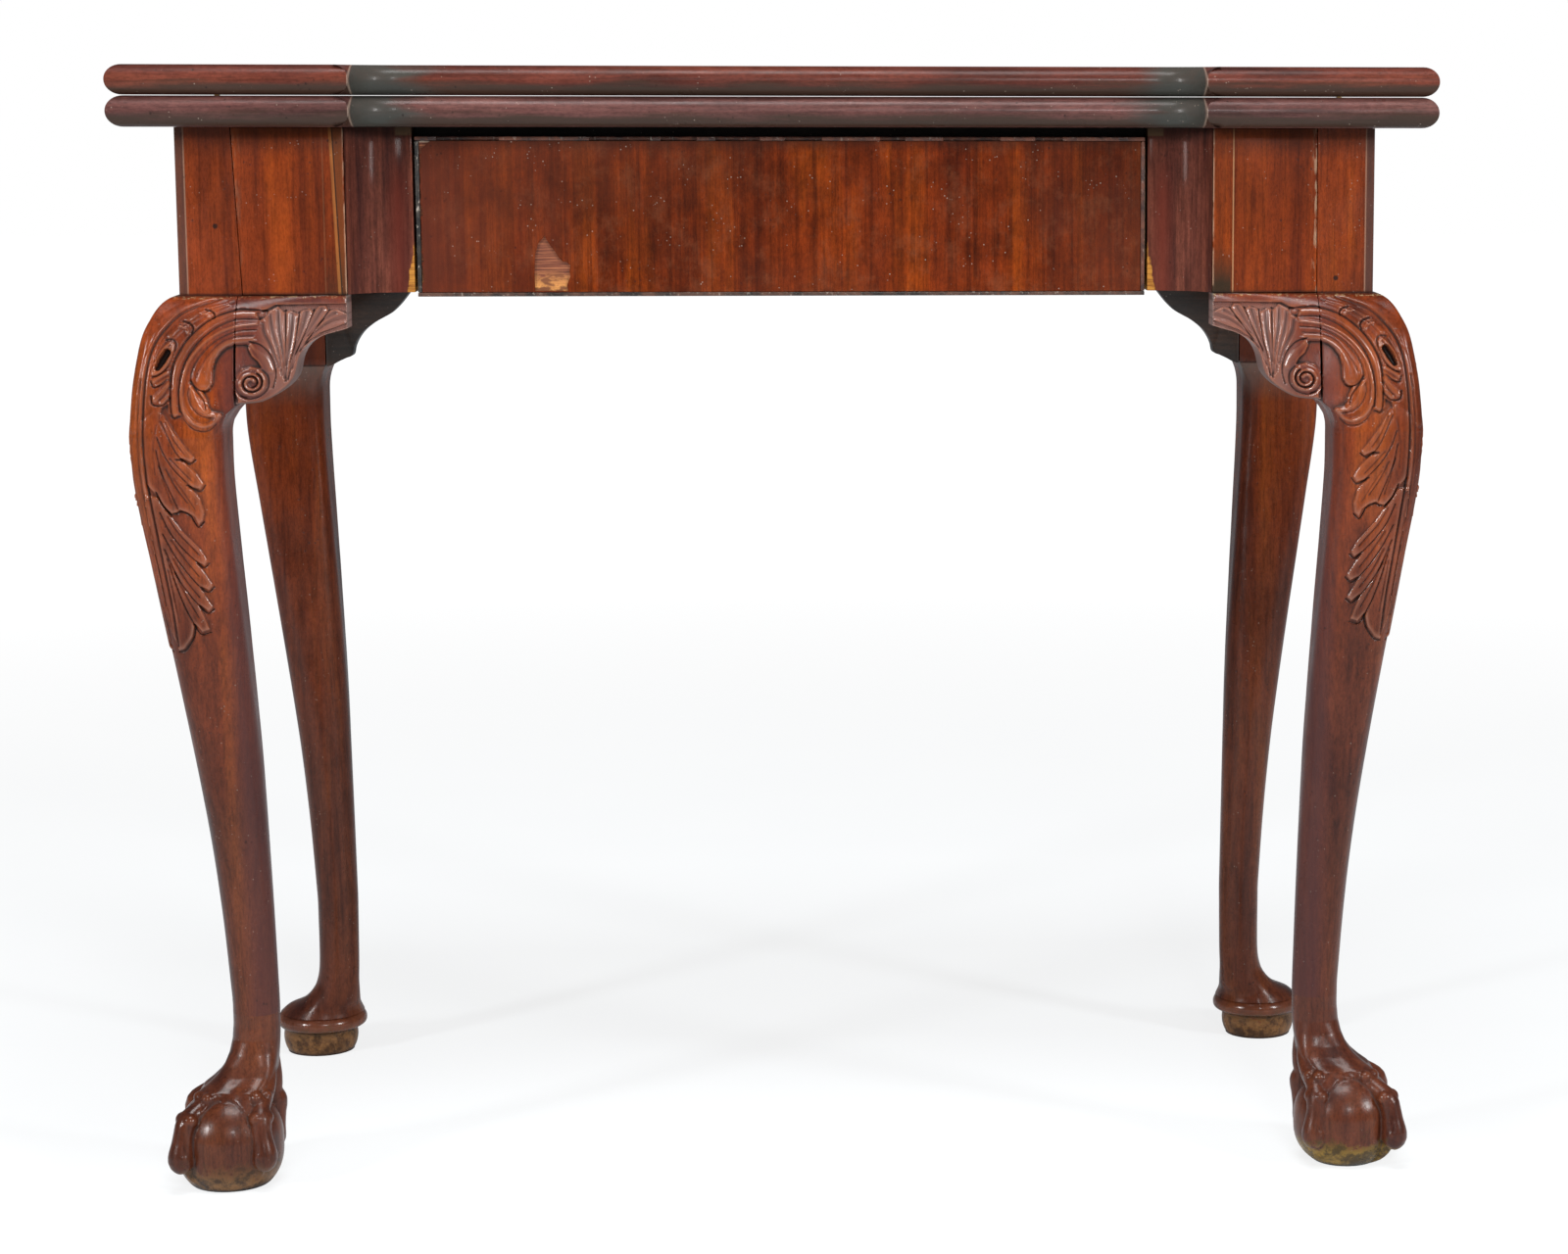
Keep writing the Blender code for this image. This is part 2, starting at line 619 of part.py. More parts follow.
def leg_body(corner, inward, stations):
    bm = bmesh.new()
    rings = []
    for height, outer, inner, roundness in stations:
        points = square_section(corner, inward, outer, inner, roundness, height)
        rings.append([bm.verts.new(point) for point in points])
    for upper, lower in zip(rings, rings[1:]):
        for i in range(len(upper)):
            j = (i + 1) % len(upper)
            bm.faces.new((upper[i], upper[j], lower[j], lower[i]))
    bm.faces.new(rings[0])
    bm.faces.new(rings[-1])
    return bm


def foot_ball(centre):
    bm = bmesh.new()
    bmesh.ops.create_uvsphere(
        bm, u_segments=BALL_SEGMENTS, v_segments=BALL_RINGS, radius=BALL_RADIUS,
        matrix=Matrix.Translation((*centre, BALL_CENTRE_HEIGHT)),
    )
    below = bm.verts[:] + bm.edges[:] + bm.faces[:]
    cut = bmesh.ops.bisect_plane(bm, geom=below, plane_co=(0, 0, 0), plane_no=(0, 0, -1), clear_outer=True)
    rim = [item for item in cut["geom_cut"] if isinstance(item, bmesh.types.BMEdge)]
    bmesh.ops.edgeloop_fill(bm, edges=rim)
    return bm


def claw(centre, ankle, aim):
    """One claw as a tube of changing thickness over the ball."""
    curve = bpy.data.curves.new("claw", "CURVE")
    curve.dimensions = "3D"
    curve.bevel_depth = BALL_RADIUS
    curve.bevel_resolution = 1
    curve.use_fill_caps = True
    spline = curve.splines.new("POLY")
    spline.points.add(len(CLAW_SHARES) - 1)
    for point, (reach, height, thickness, lean) in zip(spline.points, CLAW_SHARES):
        x = centre[0] + (ankle[0] - centre[0]) * lean + math.cos(aim) * reach * BALL_RADIUS
        y = centre[1] + (ankle[1] - centre[1]) * lean + math.sin(aim) * reach * BALL_RADIUS
        point.co = (x, y, height * BALL_RADIUS, 1)
        point.radius = thickness
    blank = bpy.data.objects.new("claw", curve)
    PARTS.objects.link(blank)
    bpy.context.view_layer.update()
    mesh = bpy.data.meshes.new_from_object(blank.evaluated_get(bpy.context.evaluated_depsgraph_get()))
    bpy.data.objects.remove(blank, do_unlink=True)
    bm = bmesh.new()
    bm.from_mesh(mesh)
    bmesh.ops.remove_doubles(bm, verts=bm.verts, dist=SEAT / 10)
    return bm


def make_front_leg(word, side):
    corner, inward = (side * FRIEZE_X, FRIEZE_FRONT_Y), (-side, 1)
    stations = leg_stations(
        FRONT_STILE, FRONT_KNEE_BULGE, FRONT_KNEE_INNER, FRONT_ANKLE_OUTER, FRONT_ANKLE_INNER,
    )
    stations += foot_stations(WEB_SHARES, FRONT_ANKLE_OUTER, FRONT_ANKLE_INNER, FRONT_FOOT_INSET, BALL_RADIUS)
    leg = add_piece(f"front_leg_{word}", leg_body(corner, inward, stations), MAHOGANY)
    ankle_inset = (FRONT_ANKLE_OUTER + FRONT_ANKLE_INNER) / 2
    foot = [corner[i] + inward[i] * FRONT_FOOT_INSET for i in range(2)]
    ankle = [corner[i] + inward[i] * ankle_inset for i in range(2)]
    apply_boolean(leg, foot_ball(foot), "UNION")
    for index in range(CLAWS):
        aim = math.pi / 4 + 2 * math.pi * index / CLAWS
        apply_boolean(leg, claw(foot, ankle, aim), "UNION")
    apply_boolean(leg, mirrored_box(side, *grown(*side_tenon(FRONT_STILE_REAR_Y - TENON_LENGTH, FRONT_STILE_REAR_Y + CUT))))
    smooth(leg)


def make_rear_leg(name, side, pivot=None):
    corner, inward = (side * FRIEZE_X, FRIEZE_REAR_Y), (-side, -1)
    stations = leg_stations(
        REAR_STILE, REAR_KNEE_BULGE, REAR_KNEE_INNER, REAR_ANKLE_OUTER, REAR_ANKLE_INNER,
    )
    stations += foot_stations(FLARE_SHARES, REAR_ANKLE_OUTER, REAR_ANKLE_INNER, REAR_FOOT_INSET, PAD_RADIUS)
    leg = add_piece(name, leg_body(corner, inward, stations), MAHOGANY, pivot)
    foot = [corner[i] + inward[i] * REAR_FOOT_INSET for i in range(2)]
    profile = [(radius * PAD_RADIUS, height * PAD_RADIUS) for radius, height in PAD_SHARES]
    pad = group_of(turned_mesh(profile, PAD_STEPS), [Matrix.Translation((*foot, 0))])
    apply_boolean(leg, pad, "UNION")
    apply_boolean(leg, mirrored_box(side, *grown(*fly_tenon(REAR_STILE_X - CUT))))
    if pivot is None:
        apply_boolean(leg, mirrored_box(side, *grown(*side_tenon(REAR_STILE_Y - CUT, REAR_STILE_Y + TENON_LENGTH))))
    smooth(leg)


# Knee brackets

def knee_swell(height):
    """How far the knee stands out from the stile's face at a height."""
    rise = FRIEZE_BOTTOM - KNEE_HEIGHT
    return FRONT_KNEE_BULGE * math.sqrt(max(0, 1 - ((height - KNEE_HEIGHT) / rise) ** 2))


def bracket_point(along, down, depth):
    """Point of a knee bracket: share along it, share down it, 0 at its face and 1 at its back."""
    top = FRIEZE_BOTTOM - SEAT
    low = FRIEZE_BOTTOM - BRACKET_DROP * straight(along, BRACKET_EDGE_SHARES)
    height = top + (low - top) * down
    swell = knee_swell(height) * (BRACKET_SWELL_SHARE + (1 - BRACKET_SWELL_SHARE) * (1 - along) ** BRACKET_SWELL_FALL)
    away = -swell if depth == 0 else BRACKET_THICKNESS
    return SEAT + (BRACKET_LENGTH - SEAT) * along, away, height


def make_knee_bracket(name, side, turned):
    """Bracket beside a front leg's knee: under the frieze block, or turned, under the side rail."""
    bm = bmesh.new()
    layers = []
    for depth in (0, 1):
        grid = []
        for along, drop in BRACKET_EDGE_SHARES:
            column = []
            for row in range(BRACKET_ROWS + 1):
                run, away, height = bracket_point(along, row / BRACKET_ROWS, depth)
                if turned:
                    place = (side * (FRIEZE_X - away), FRONT_STILE_REAR_Y + run, height)
                else:
                    place = (side * (FRONT_STILE_X - run), FRIEZE_FRONT_Y + away, height)
                column.append(bm.verts.new(place))
            grid.append(column)
        layers.append(grid)
    columns, rows = len(BRACKET_EDGE_SHARES) - 1, BRACKET_ROWS
    for grid in layers:
        for i in range(columns):
            for j in range(rows):
                bm.faces.new((grid[i][j], grid[i + 1][j], grid[i + 1][j + 1], grid[i][j + 1]))
    rim = [(i, 0) for i in range(columns)] + [(columns, j) for j in range(rows)]
    rim += [(i, rows) for i in range(columns, 0, -1)] + [(0, j) for j in range(rows, 0, -1)]
    for (i0, j0), (i1, j1) in zip(rim, rim[1:] + rim[:1]):
        front, back = layers
        bm.faces.new((front[i0][j0], front[i1][j1], back[i1][j1], back[i0][j0]))
    smooth(add_piece(name, bm, MAHOGANY))


def make_rear_bracket(name, side, pivot=None):
    top = FRIEZE_BOTTOM - SEAT
    outline = [(side * (REAR_STILE_X - SEAT), FLY_RAIL_Y, top)]
    for along, drop in REAR_BRACKET_EDGE_SHARES:
        reach = SEAT + (REAR_BRACKET_LENGTH - SEAT) * along
        outline.append((side * (REAR_STILE_X - reach), FLY_RAIL_Y, FRIEZE_BOTTOM - REAR_BRACKET_DROP * drop))
    outline.append((side * (REAR_STILE_X - REAR_BRACKET_LENGTH), FLY_RAIL_Y, top))
    smooth(add_piece(name, prism(outline, (0, 1, 0), REAR_BRACKET_THICKNESS), MAHOGANY, pivot))


# Rails and their tenons

def side_tenon(front_y, rear_y):
    middle = FRIEZE_X - RAIL_THICKNESS / 2
    return (
        (middle - TENON_THICKNESS / 2, front_y, FRIEZE_BOTTOM + TENON_SHOULDER),
        (middle + TENON_THICKNESS / 2, rear_y, FRIEZE_TOP - TENON_SHOULDER),
    )


def fly_tenon(inner_x):
    return (
        (inner_x, KNUCKLE_Y - TENON_THICKNESS / 2, FRIEZE_BOTTOM + TENON_SHOULDER),
        (REAR_STILE_X + TENON_LENGTH, KNUCKLE_Y + TENON_THICKNESS / 2, FRIEZE_TOP - TENON_SHOULDER),
    )


def cross_rail(level):
    """Low and high corner of a rail let into both side rails: bottom, top or inner rear."""
    reach = SIDE_RAIL_X + HOUSING_DEPTH
    spans = {
        "bottom": ((FLAT_RAIL_Y, FRIEZE_BOTTOM), (FLAT_RAIL_Y + FLAT_RAIL_WIDTH, RUNNER_TOP)),
        "top": ((FLAT_RAIL_Y, KICKER_LOW), (FLAT_RAIL_Y + FLAT_RAIL_WIDTH, FRIEZE_TOP)),
        "rear": ((INNER_RAIL_Y, FRIEZE_BOTTOM), (INNER_RAIL_Y + RAIL_THICKNESS, FRIEZE_TOP)),
    }
    (y_low, z_low), (y_high, z_high) = spans[level]
    return (-reach, y_low, z_low), (reach, y_high, z_high)


def make_cross_rails():
    add_piece("front_bottom_rail", box(*cross_rail("bottom")), PINE)
    top_rail = add_piece("front_top_rail", box(*cross_rail("top")), PINE)
    apply_boolean(top_rail, screw_holes(LEAF_SCREW_LENGTH, leaf_screw_places()))
    add_piece("inner_rear_rail", box(*cross_rail("rear")), PINE)


def make_side_rail(word, side):
    gate_side = side < 0
    low = (SIDE_RAIL_X, FRONT_STILE_REAR_Y + SEAT, FRIEZE_BOTTOM)
    high = (FRIEZE_X, REAR_STILE_Y - SEAT, FRIEZE_TOP)
    rail = add_piece(f"side_rail_{word}", mirrored_box(side, low, high), MAHOGANY)
    front_tenon = side_tenon(FRONT_STILE_REAR_Y - TENON_LENGTH, FRONT_STILE_REAR_Y + CUT)
    apply_boolean(rail, mirrored_box(side, *front_tenon), "UNION")
    if not gate_side:
        rear_tenon = side_tenon(REAR_STILE_Y - CUT, REAR_STILE_Y + TENON_LENGTH)
        apply_boolean(rail, mirrored_box(side, *rear_tenon), "UNION")
    for level in ("bottom", "top", "rear"):
        low, high = grown(*cross_rail(level))
        if level == "bottom":
            low[2] -= CUT
        elif level == "top":
            high[2] += CUT
        else:
            low[2] -= CUT
            high[2] += CUT
            high[1] += CUT
        apply_boolean(rail, box(low, high))


def finger_levels(owner):
    """Heights of the knuckle fingers of the fixed rail, 0, or of the swinging rail, 1."""
    pitch = (FRIEZE_TOP - FRIEZE_BOTTOM) / KNUCKLE_FINGERS
    levels = []
    for index in range(KNUCKLE_FINGERS):
        if index % 2 == owner:
            low = FRIEZE_BOTTOM + pitch * index
            levels.append((low + KNUCKLE_PLAY / 2, low + pitch - KNUCKLE_PLAY / 2))
    return levels


def add_fingers(rail, owner, direction):
    """Joins the fingers that reach from the rail's end round the pin."""
    root = KNUCKLE_RADIUS + KNUCKLE_RELIEF + KNUCKLE_ROOT
    for low, high in finger_levels(owner):
        outline = [(KNUCKLE_X + direction * root, KNUCKLE_Y - KNUCKLE_RADIUS, low)]
        for step in range(ROUND_STEPS + 1):
            turn = -math.pi / 2 + math.pi * step / ROUND_STEPS
            outline.append((
                KNUCKLE_X - direction * KNUCKLE_RADIUS * math.cos(turn),
                KNUCKLE_Y + KNUCKLE_RADIUS * math.sin(turn),
                low,
            ))
        outline.append((KNUCKLE_X + direction * root, KNUCKLE_Y + KNUCKLE_RADIUS, low))
        apply_boolean(rail, prism(outline, (0, 0, 1), high - low), "UNION")
    hole = cylinder((KNUCKLE_X, KNUCKLE_Y, (FRIEZE_BOTTOM + FRIEZE_TOP) / 2), (0, 0, 1), GATE_PIN_RADIUS + SEAT, FRIEZE_HEIGHT * 2)
    apply_boolean(rail, hole)


def make_fly_rails():
    end = KNUCKLE_RADIUS + KNUCKLE_RELIEF
    top = FRIEZE_TOP - KNUCKLE_PLAY
    low = (KNUCKLE_X + end, FLY_RAIL_Y, FRIEZE_BOTTOM)
    high = (REAR_STILE_X - SEAT, FLY_RAIL_Y + RAIL_THICKNESS, FRIEZE_TOP)
    fixed = add_piece("fly_rail_fixed", box(low, high), OAK)
    apply_boolean(fixed, box(*fly_tenon(REAR_STILE_X - CUT)), "UNION")
    add_fingers(fixed, 0, 1)
    low = (-REAR_STILE_X + SEAT, FLY_RAIL_Y, FRIEZE_BOTTOM)
    high = (KNUCKLE_X - end, FLY_RAIL_Y + RAIL_THICKNESS, top)
    gate = add_piece("gate_rail", box(low, high), OAK, GATE_PIVOT)
    apply_boolean(gate, mirrored_box(-1, *fly_tenon(REAR_STILE_X - CUT)), "UNION")
    add_fingers(gate, 1, -1)
    pin_middle = (KNUCKLE_X, KNUCKLE_Y, (FRIEZE_BOTTOM + FRIEZE_TOP) / 2)
    smooth(add_piece("gate_pin", cylinder(pin_middle, (0, 0, 1), GATE_PIN_RADIUS, FRIEZE_TOP - FRIEZE_BOTTOM), IRON))


# Frieze blocks and hollow cheeks

def make_block_and_cheek(word, side):
    rear = DRAWER_FRONT_REAR_Y
    block = mirrored_box(side, (BLOCK_X + SEAT, FRIEZE_FRONT_Y, FRIEZE_BOTTOM), (FRONT_STILE_X - SEAT, rear, FRIEZE_TOP))
    add_piece(f"frieze_block_{word}", block, VENEERED)
    outline = [(side * BLOCK_X, rear, FRIEZE_BOTTOM)]
    for step in range(CHEEK_STEPS + 1):
        turn = math.pi / 2 * step / CHEEK_STEPS
        x = BLOCK_X - CHEEK_WIDTH * (1 - math.cos(turn))
        outline.append((side * x, FRIEZE_FRONT_Y + RECESS * math.sin(turn), FRIEZE_BOTTOM))
    outline.append((side * CHEEK_X, rear, FRIEZE_BOTTOM))
    smooth(add_piece(f"hollow_cheek_{word}", prism(outline, (0, 0, 1), FRIEZE_TOP - FRIEZE_BOTTOM), VENEERED))


# Drawer and what it runs on

def make_drawer_run(word, side):
    front = FLAT_RAIL_Y + FLAT_RAIL_WIDTH + SEAT
    rear = INNER_RAIL_Y - SEAT
    runner = mirrored_box(side, (RUNNER_X, front, FRIEZE_BOTTOM), (GUIDE_X + GUIDE_WIDTH, rear, RUNNER_TOP))
    add_piece(f"drawer_runner_{word}", runner, PINE)
    guide = mirrored_box(
        side, (GUIDE_X, front, RUNNER_TOP + SEAT), (GUIDE_X + GUIDE_WIDTH, rear, RUNNER_TOP + GUIDE_HEIGHT),
    )
    add_piece(f"drawer_guide_{word}", guide, PINE)
    outer = DRAWER_BOX_X + SEAT
    kicker = mirrored_box(side, (outer - KICKER_WIDTH, front, KICKER_LOW), (outer, rear, FRIEZE_TOP))
    kicker_piece = add_piece(f"drawer_kicker_{word}", kicker, PINE)
    apply_boolean(kicker_piece, screw_holes(LEAF_SCREW_LENGTH, leaf_screw_places()))


def tail_outlines(x, margin=0.0):
    """Dovetails at a drawer side's front end, each as a trapezium in a plane of constant x."""
    pitch = (DRAWER_BOX_TOP - DRAWER_BOX_LOW) / DRAWER_TAILS
    root, tip = DRAWER_FRONT_REAR_Y + SEAT, DRAWER_FRONT_REAR_Y - TAIL_LENGTH
    tails = []
    for index in range(DRAWER_TAILS):
        middle = DRAWER_BOX_LOW + pitch * (index + 0.5)
        narrow = pitch * TAIL_NARROW_SHARE / 2 + margin
        wide = pitch * TAIL_WIDE_SHARE / 2 + margin
        tails.append([
            (x, root + margin, middle - narrow), (x, tip - margin, middle - wide),
            (x, tip - margin, middle + wide), (x, root + margin, middle + narrow),
        ])
    return tails


def drawer_bottom_span():
    reach = DRAWER_BOX_X - DRAWER_SIDE_THICKNESS + DRAWER_GROOVE
    low = DRAWER_BOX_LOW + DRAWER_BOTTOM_LIFT
    return (
        (-reach, DRAWER_FRONT_REAR_Y - DRAWER_GROOVE, low),
        (reach, DRAWER_BACK_Y, low + DRAWER_BOTTOM_THICKNESS),
    )


def make_drawer_front():
    low = (-DRAWER_X + BEAD_WIDTH + SEAT, DRAWER_FACE_Y + VENEER + SEAT, DRAWER_LOW + BEAD_WIDTH + SEAT)
    high = (DRAWER_X - BEAD_WIDTH - SEAT, DRAWER_FRONT_REAR_Y, DRAWER_TOP - BEAD_WIDTH - SEAT)
    core = add_piece("drawer_front", box(low, high), OAK, DRAWER_PIVOT)
    for side in SIDES.values():
        inner = DRAWER_BOX_X - DRAWER_SIDE_THICKNESS - SEAT
        for tail in tail_outlines(side * inner, SEAT):
            apply_boolean(core, prism(tail, (side, 0, 0), DRAWER_SIDE_THICKNESS + 2 * SEAT))
    groove_low, groove_high = grown(*drawer_bottom_span())
    groove_high[1] = DRAWER_FRONT_REAR_Y + CUT
    apply_boolean(core, box(groove_low, groove_high))
    veneer_low = (low[0], DRAWER_FACE_Y, low[2])
    veneer_high = (high[0], DRAWER_FACE_Y + VENEER, high[2])
    veneer = add_piece("drawer_veneer", box(veneer_low, veneer_high), VENEERED, DRAWER_PIVOT)
    base = low[2] + PATCH_FOOT
    patch = [
        (-PATCH_LEFT, base), (-PATCH_LEFT, base + PATCH_LOW_HEIGHT), (-PATCH_PEAK, base + PATCH_HEIGHT),
        (-PATCH_NOTCH, base + PATCH_MID_HEIGHT), (-PATCH_RIGHT, base + PATCH_LOW_HEIGHT), (-PATCH_RIGHT, base),
    ]
    outline = [(x, DRAWER_FACE_Y - CUT, z) for x, z in patch]
    apply_boolean(veneer, prism(outline, (0, 1, 0), VENEER + 2 * CUT))


def make_cockbeads():
    front, rear = DRAWER_FACE_Y - BEAD_PROUD, DRAWER_FACE_Y + BEAD_DEPTH
    for word, low_z, high_z in (
        ("bottom", DRAWER_LOW, DRAWER_LOW + BEAD_WIDTH),
        ("top", DRAWER_TOP - BEAD_WIDTH, DRAWER_TOP),
    ):
        add_piece(f"cockbead_{word}", box((-DRAWER_X, front, low_z), (DRAWER_X, rear, high_z)), MAHOGANY, DRAWER_PIVOT)
    for word, side in SIDES.items():
        low = (DRAWER_X - BEAD_WIDTH, front, DRAWER_LOW + BEAD_WIDTH + SEAT)
        high = (DRAWER_X, rear, DRAWER_TOP - BEAD_WIDTH - SEAT)
        add_piece(f"cockbead_{word}", mirrored_box(side, low, high), MAHOGANY, DRAWER_PIVOT)


def make_drawer_box():
    inner = DRAWER_BOX_X - DRAWER_SIDE_THICKNESS
    groove = grown(*drawer_bottom_span())
    groove[1][1] += CUT
    for word, side in SIDES.items():
        low = (inner, DRAWER_FRONT_REAR_Y + SEAT, DRAWER_BOX_LOW)
        high = (DRAWER_BOX_X, DRAWER_BACK_Y, DRAWER_BOX_TOP)
        board = add_piece(f"drawer_side_{word}", mirrored_box(side, low, high), OAK, DRAWER_PIVOT)
        for tail in tail_outlines(side * inner):
            longer = [(x, y + CUT if y > DRAWER_FRONT_REAR_Y else y, z) for x, y, z in tail]
            apply_boolean(board, prism(longer, (side, 0, 0), DRAWER_SIDE_THICKNESS), "UNION")
        apply_boolean(board, box(*groove))
    bottom_low, bottom_high = drawer_bottom_span()
    add_piece("drawer_bottom", box(bottom_low, bottom_high), OAK, DRAWER_PIVOT)
    back_low = (-inner + SEAT, DRAWER_BACK_Y - DRAWER_SIDE_THICKNESS, bottom_high[2] + SEAT)
    back_high = (inner - SEAT, DRAWER_BACK_Y, DRAWER_BOX_TOP)
    add_piece("drawer_back", box(back_low, back_high), OAK, DRAWER_PIVOT)


def make_top():
    lower = make_leaf("lower_leaf", LOWER_LEAF_BOTTOM)
    apply_boolean(lower, screw_holes(LEAF_SCREW_LENGTH, leaf_screw_places()))
    make_leaf("upper_leaf", UPPER_LEAF_BOTTOM, UPPER_PIVOT)
    make_hinges()
    make_screws("leaf_screw", LEAF_SCREW_LENGTH, leaf_screw_places(), IRON)


def make_frame():
    for word, side in SIDES.items():
        make_front_leg(word, side)
        make_knee_bracket(f"knee_bracket_front_{word}", side, False)
        make_knee_bracket(f"knee_bracket_side_{word}", side, True)
        make_block_and_cheek(word, side)
        make_side_rail(word, side)
        make_drawer_run(word, side)
    make_rear_leg("rear_leg_fixed", 1)
    make_rear_leg("rear_leg_gate", -1, GATE_PIVOT)
    make_rear_bracket("rear_bracket_fixed", 1)
    make_rear_bracket("rear_bracket_gate", -1, GATE_PIVOT)
    make_cross_rails()
    make_fly_rails()


def make_drawer():
    make_drawer_front()
    make_cockbeads()
    make_drawer_box()


make_top()
make_frame()
make_drawer()
bpy.context.view_layer.update()
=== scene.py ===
"""Looks of the card table: fine surfaces, carving, materials, light and the camera."""
import math
from contextlib import contextmanager

import bmesh
import bpy
import numpy as np
from mathutils import Matrix, Vector


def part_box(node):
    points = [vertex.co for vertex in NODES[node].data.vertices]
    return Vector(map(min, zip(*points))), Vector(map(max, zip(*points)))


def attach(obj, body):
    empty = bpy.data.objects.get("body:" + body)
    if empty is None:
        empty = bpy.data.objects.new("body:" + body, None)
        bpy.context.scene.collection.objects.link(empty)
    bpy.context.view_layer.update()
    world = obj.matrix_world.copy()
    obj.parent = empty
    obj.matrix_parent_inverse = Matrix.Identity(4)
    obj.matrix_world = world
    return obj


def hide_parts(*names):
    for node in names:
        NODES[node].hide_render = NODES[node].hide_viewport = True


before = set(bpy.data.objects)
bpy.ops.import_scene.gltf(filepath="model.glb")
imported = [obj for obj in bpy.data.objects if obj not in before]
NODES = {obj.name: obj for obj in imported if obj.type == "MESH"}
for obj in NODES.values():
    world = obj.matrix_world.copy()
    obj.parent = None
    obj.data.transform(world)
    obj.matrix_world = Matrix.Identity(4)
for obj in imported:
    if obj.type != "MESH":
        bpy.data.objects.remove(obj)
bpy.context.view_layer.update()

MM = 0.001
SEAT = 0.0003
SIDES = {"left": -1, "right": 1}
SHARP_ANGLE = math.radians(20)

# Radius of the hollow corners, and the inner edges of the leaves' square ears
RECESS = 0.030
EAR_X = 0.2702

# Places taken from the frame
FRIEZE_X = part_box("side_rail_right")[1].x
FRIEZE_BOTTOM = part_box("side_rail_right")[0].z
FRIEZE_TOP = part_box("side_rail_right")[1].z
FRIEZE_FRONT_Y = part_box("frieze_block_right")[0].y
BLOCK_REAR_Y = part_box("frieze_block_right")[1].y
FRONT_STILE_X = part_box("frieze_block_right")[1].x + SEAT
BLOCK_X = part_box("frieze_block_right")[0].x - SEAT
CHEEK_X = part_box("hollow_cheek_right")[0].x
FRONT_STILE = FRIEZE_X - FRONT_STILE_X
REAR_STILE_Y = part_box("fly_rail_fixed")[0].y - SEAT
REAR_STILE_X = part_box("rear_bracket_fixed")[1].x + SEAT
REAR_STILE = FRIEZE_X - REAR_STILE_X
FRIEZE_REAR_Y = REAR_STILE_Y + REAR_STILE
LEAF_FRONT_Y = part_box("lower_leaf")[0].y
DRAWER_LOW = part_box("cockbead_bottom")[0].z
DRAWER_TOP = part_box("cockbead_top")[1].z


# Modelling helpers

def deselect():
    bpy.ops.object.select_all(action="DESELECT")


def start_piece(name):
    """Names the primitive that was just added and leaves only it selected."""
    piece = bpy.context.object
    piece.name = name
    piece.data.name = name
    return piece


def active_mesh(piece):
    deselect()
    bpy.context.view_layer.objects.active = piece
    piece.select_set(True)


@contextmanager
def editing(piece, select="SELECT"):
    """Edit mode on one piece, with all or none of it selected."""
    active_mesh(piece)
    bpy.ops.object.mode_set(mode="EDIT")
    bpy.ops.mesh.select_mode(type="EDGE")
    bpy.ops.mesh.select_all(action=select)
    yield
    bpy.ops.object.mode_set(mode="OBJECT")


def face_outwards():
    bpy.ops.mesh.select_all(action="SELECT")
    bpy.ops.mesh.normals_make_consistent(inside=False)


def settle(piece):
    """Puts the piece's place into its mesh."""
    active_mesh(piece)
    bpy.ops.object.transform_apply(location=True, rotation=True, scale=True)
    return piece


def add_box(name, low, high):
    deselect()
    low, high = Vector(low), Vector(high)
    bpy.ops.mesh.primitive_cube_add(size=1, location=(low + high) / 2)
    piece = start_piece(name)
    piece.dimensions = high - low
    return settle(piece)


def apply_modifier(piece, kind, **settings):
    active_mesh(piece)
    modifier = piece.modifiers.new(kind.lower(), kind)
    for key, value in settings.items():
        setattr(modifier, key, value)
    bpy.ops.object.modifier_apply(modifier=modifier.name)


def combine(piece, other, operation="DIFFERENCE"):
    apply_modifier(piece, "BOOLEAN", operation=operation, solver="EXACT", object=other)
    bpy.data.objects.remove(other, do_unlink=True)


def bevel_edges(piece, width, segments, chosen=None, clamp=True):
    """Bevels the sharp edges, or those for which chosen(first end, second end) holds."""
    with editing(piece, "DESELECT"):
        bm = bmesh.from_edit_mesh(piece.data)
        for edge in bm.edges:
            ends = [vertex.co for vertex in edge.verts]
            sharp = edge.calc_face_angle(0) > SHARP_ANGLE
            edge.select_set(sharp if chosen is None else chosen(*ends))
        bmesh.update_edit_mesh(piece.data)
        bpy.ops.mesh.bevel(offset=width, segments=segments, profile=0.5, clamp_overlap=clamp)


def smooth(piece, degrees=35):
    active_mesh(piece)
    bpy.ops.object.shade_smooth_by_angle(angle=math.radians(degrees))


def finish_piece(piece, body, material, replaces=()):
    piece.data.materials.clear()
    piece.data.materials.append(material)
    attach(piece, body)
    for node in replaces:
        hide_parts(node)


def points_of(piece):
    co = np.empty(len(piece.data.vertices) * 3)
    piece.data.vertices.foreach_get("co", co)
    return co.reshape(-1, 3)


def set_points(piece, points):
    piece.data.vertices.foreach_set("co", np.ascontiguousarray(points, dtype=np.float32).ravel())
    piece.data.update()


def normals_of(piece):
    normals = np.empty(len(piece.data.vertices) * 3, np.float32)
    piece.data.vertices.foreach_get("normal", normals)
    return normals.reshape(-1, 3).astype(float)


def store(piece, name, values):
    layer = piece.data.attributes.new(name, "FLOAT", "POINT")
    layer.data.foreach_set("value", np.ascontiguousarray(values, dtype=np.float32))


def grid_sheet(name, columns, rows):
    """A flat grid, and the column and row of each of its vertices."""
    deselect()
    bpy.ops.mesh.primitive_grid_add(x_subdivisions=columns, y_subdivisions=rows, size=2)
    piece = start_piece(name)
    flat = points_of(piece)
    column = np.rint((flat[:, 0] + 1) / 2 * columns).astype(int)
    row = np.rint((flat[:, 1] + 1) / 2 * rows).astype(int)
    return piece, column, row


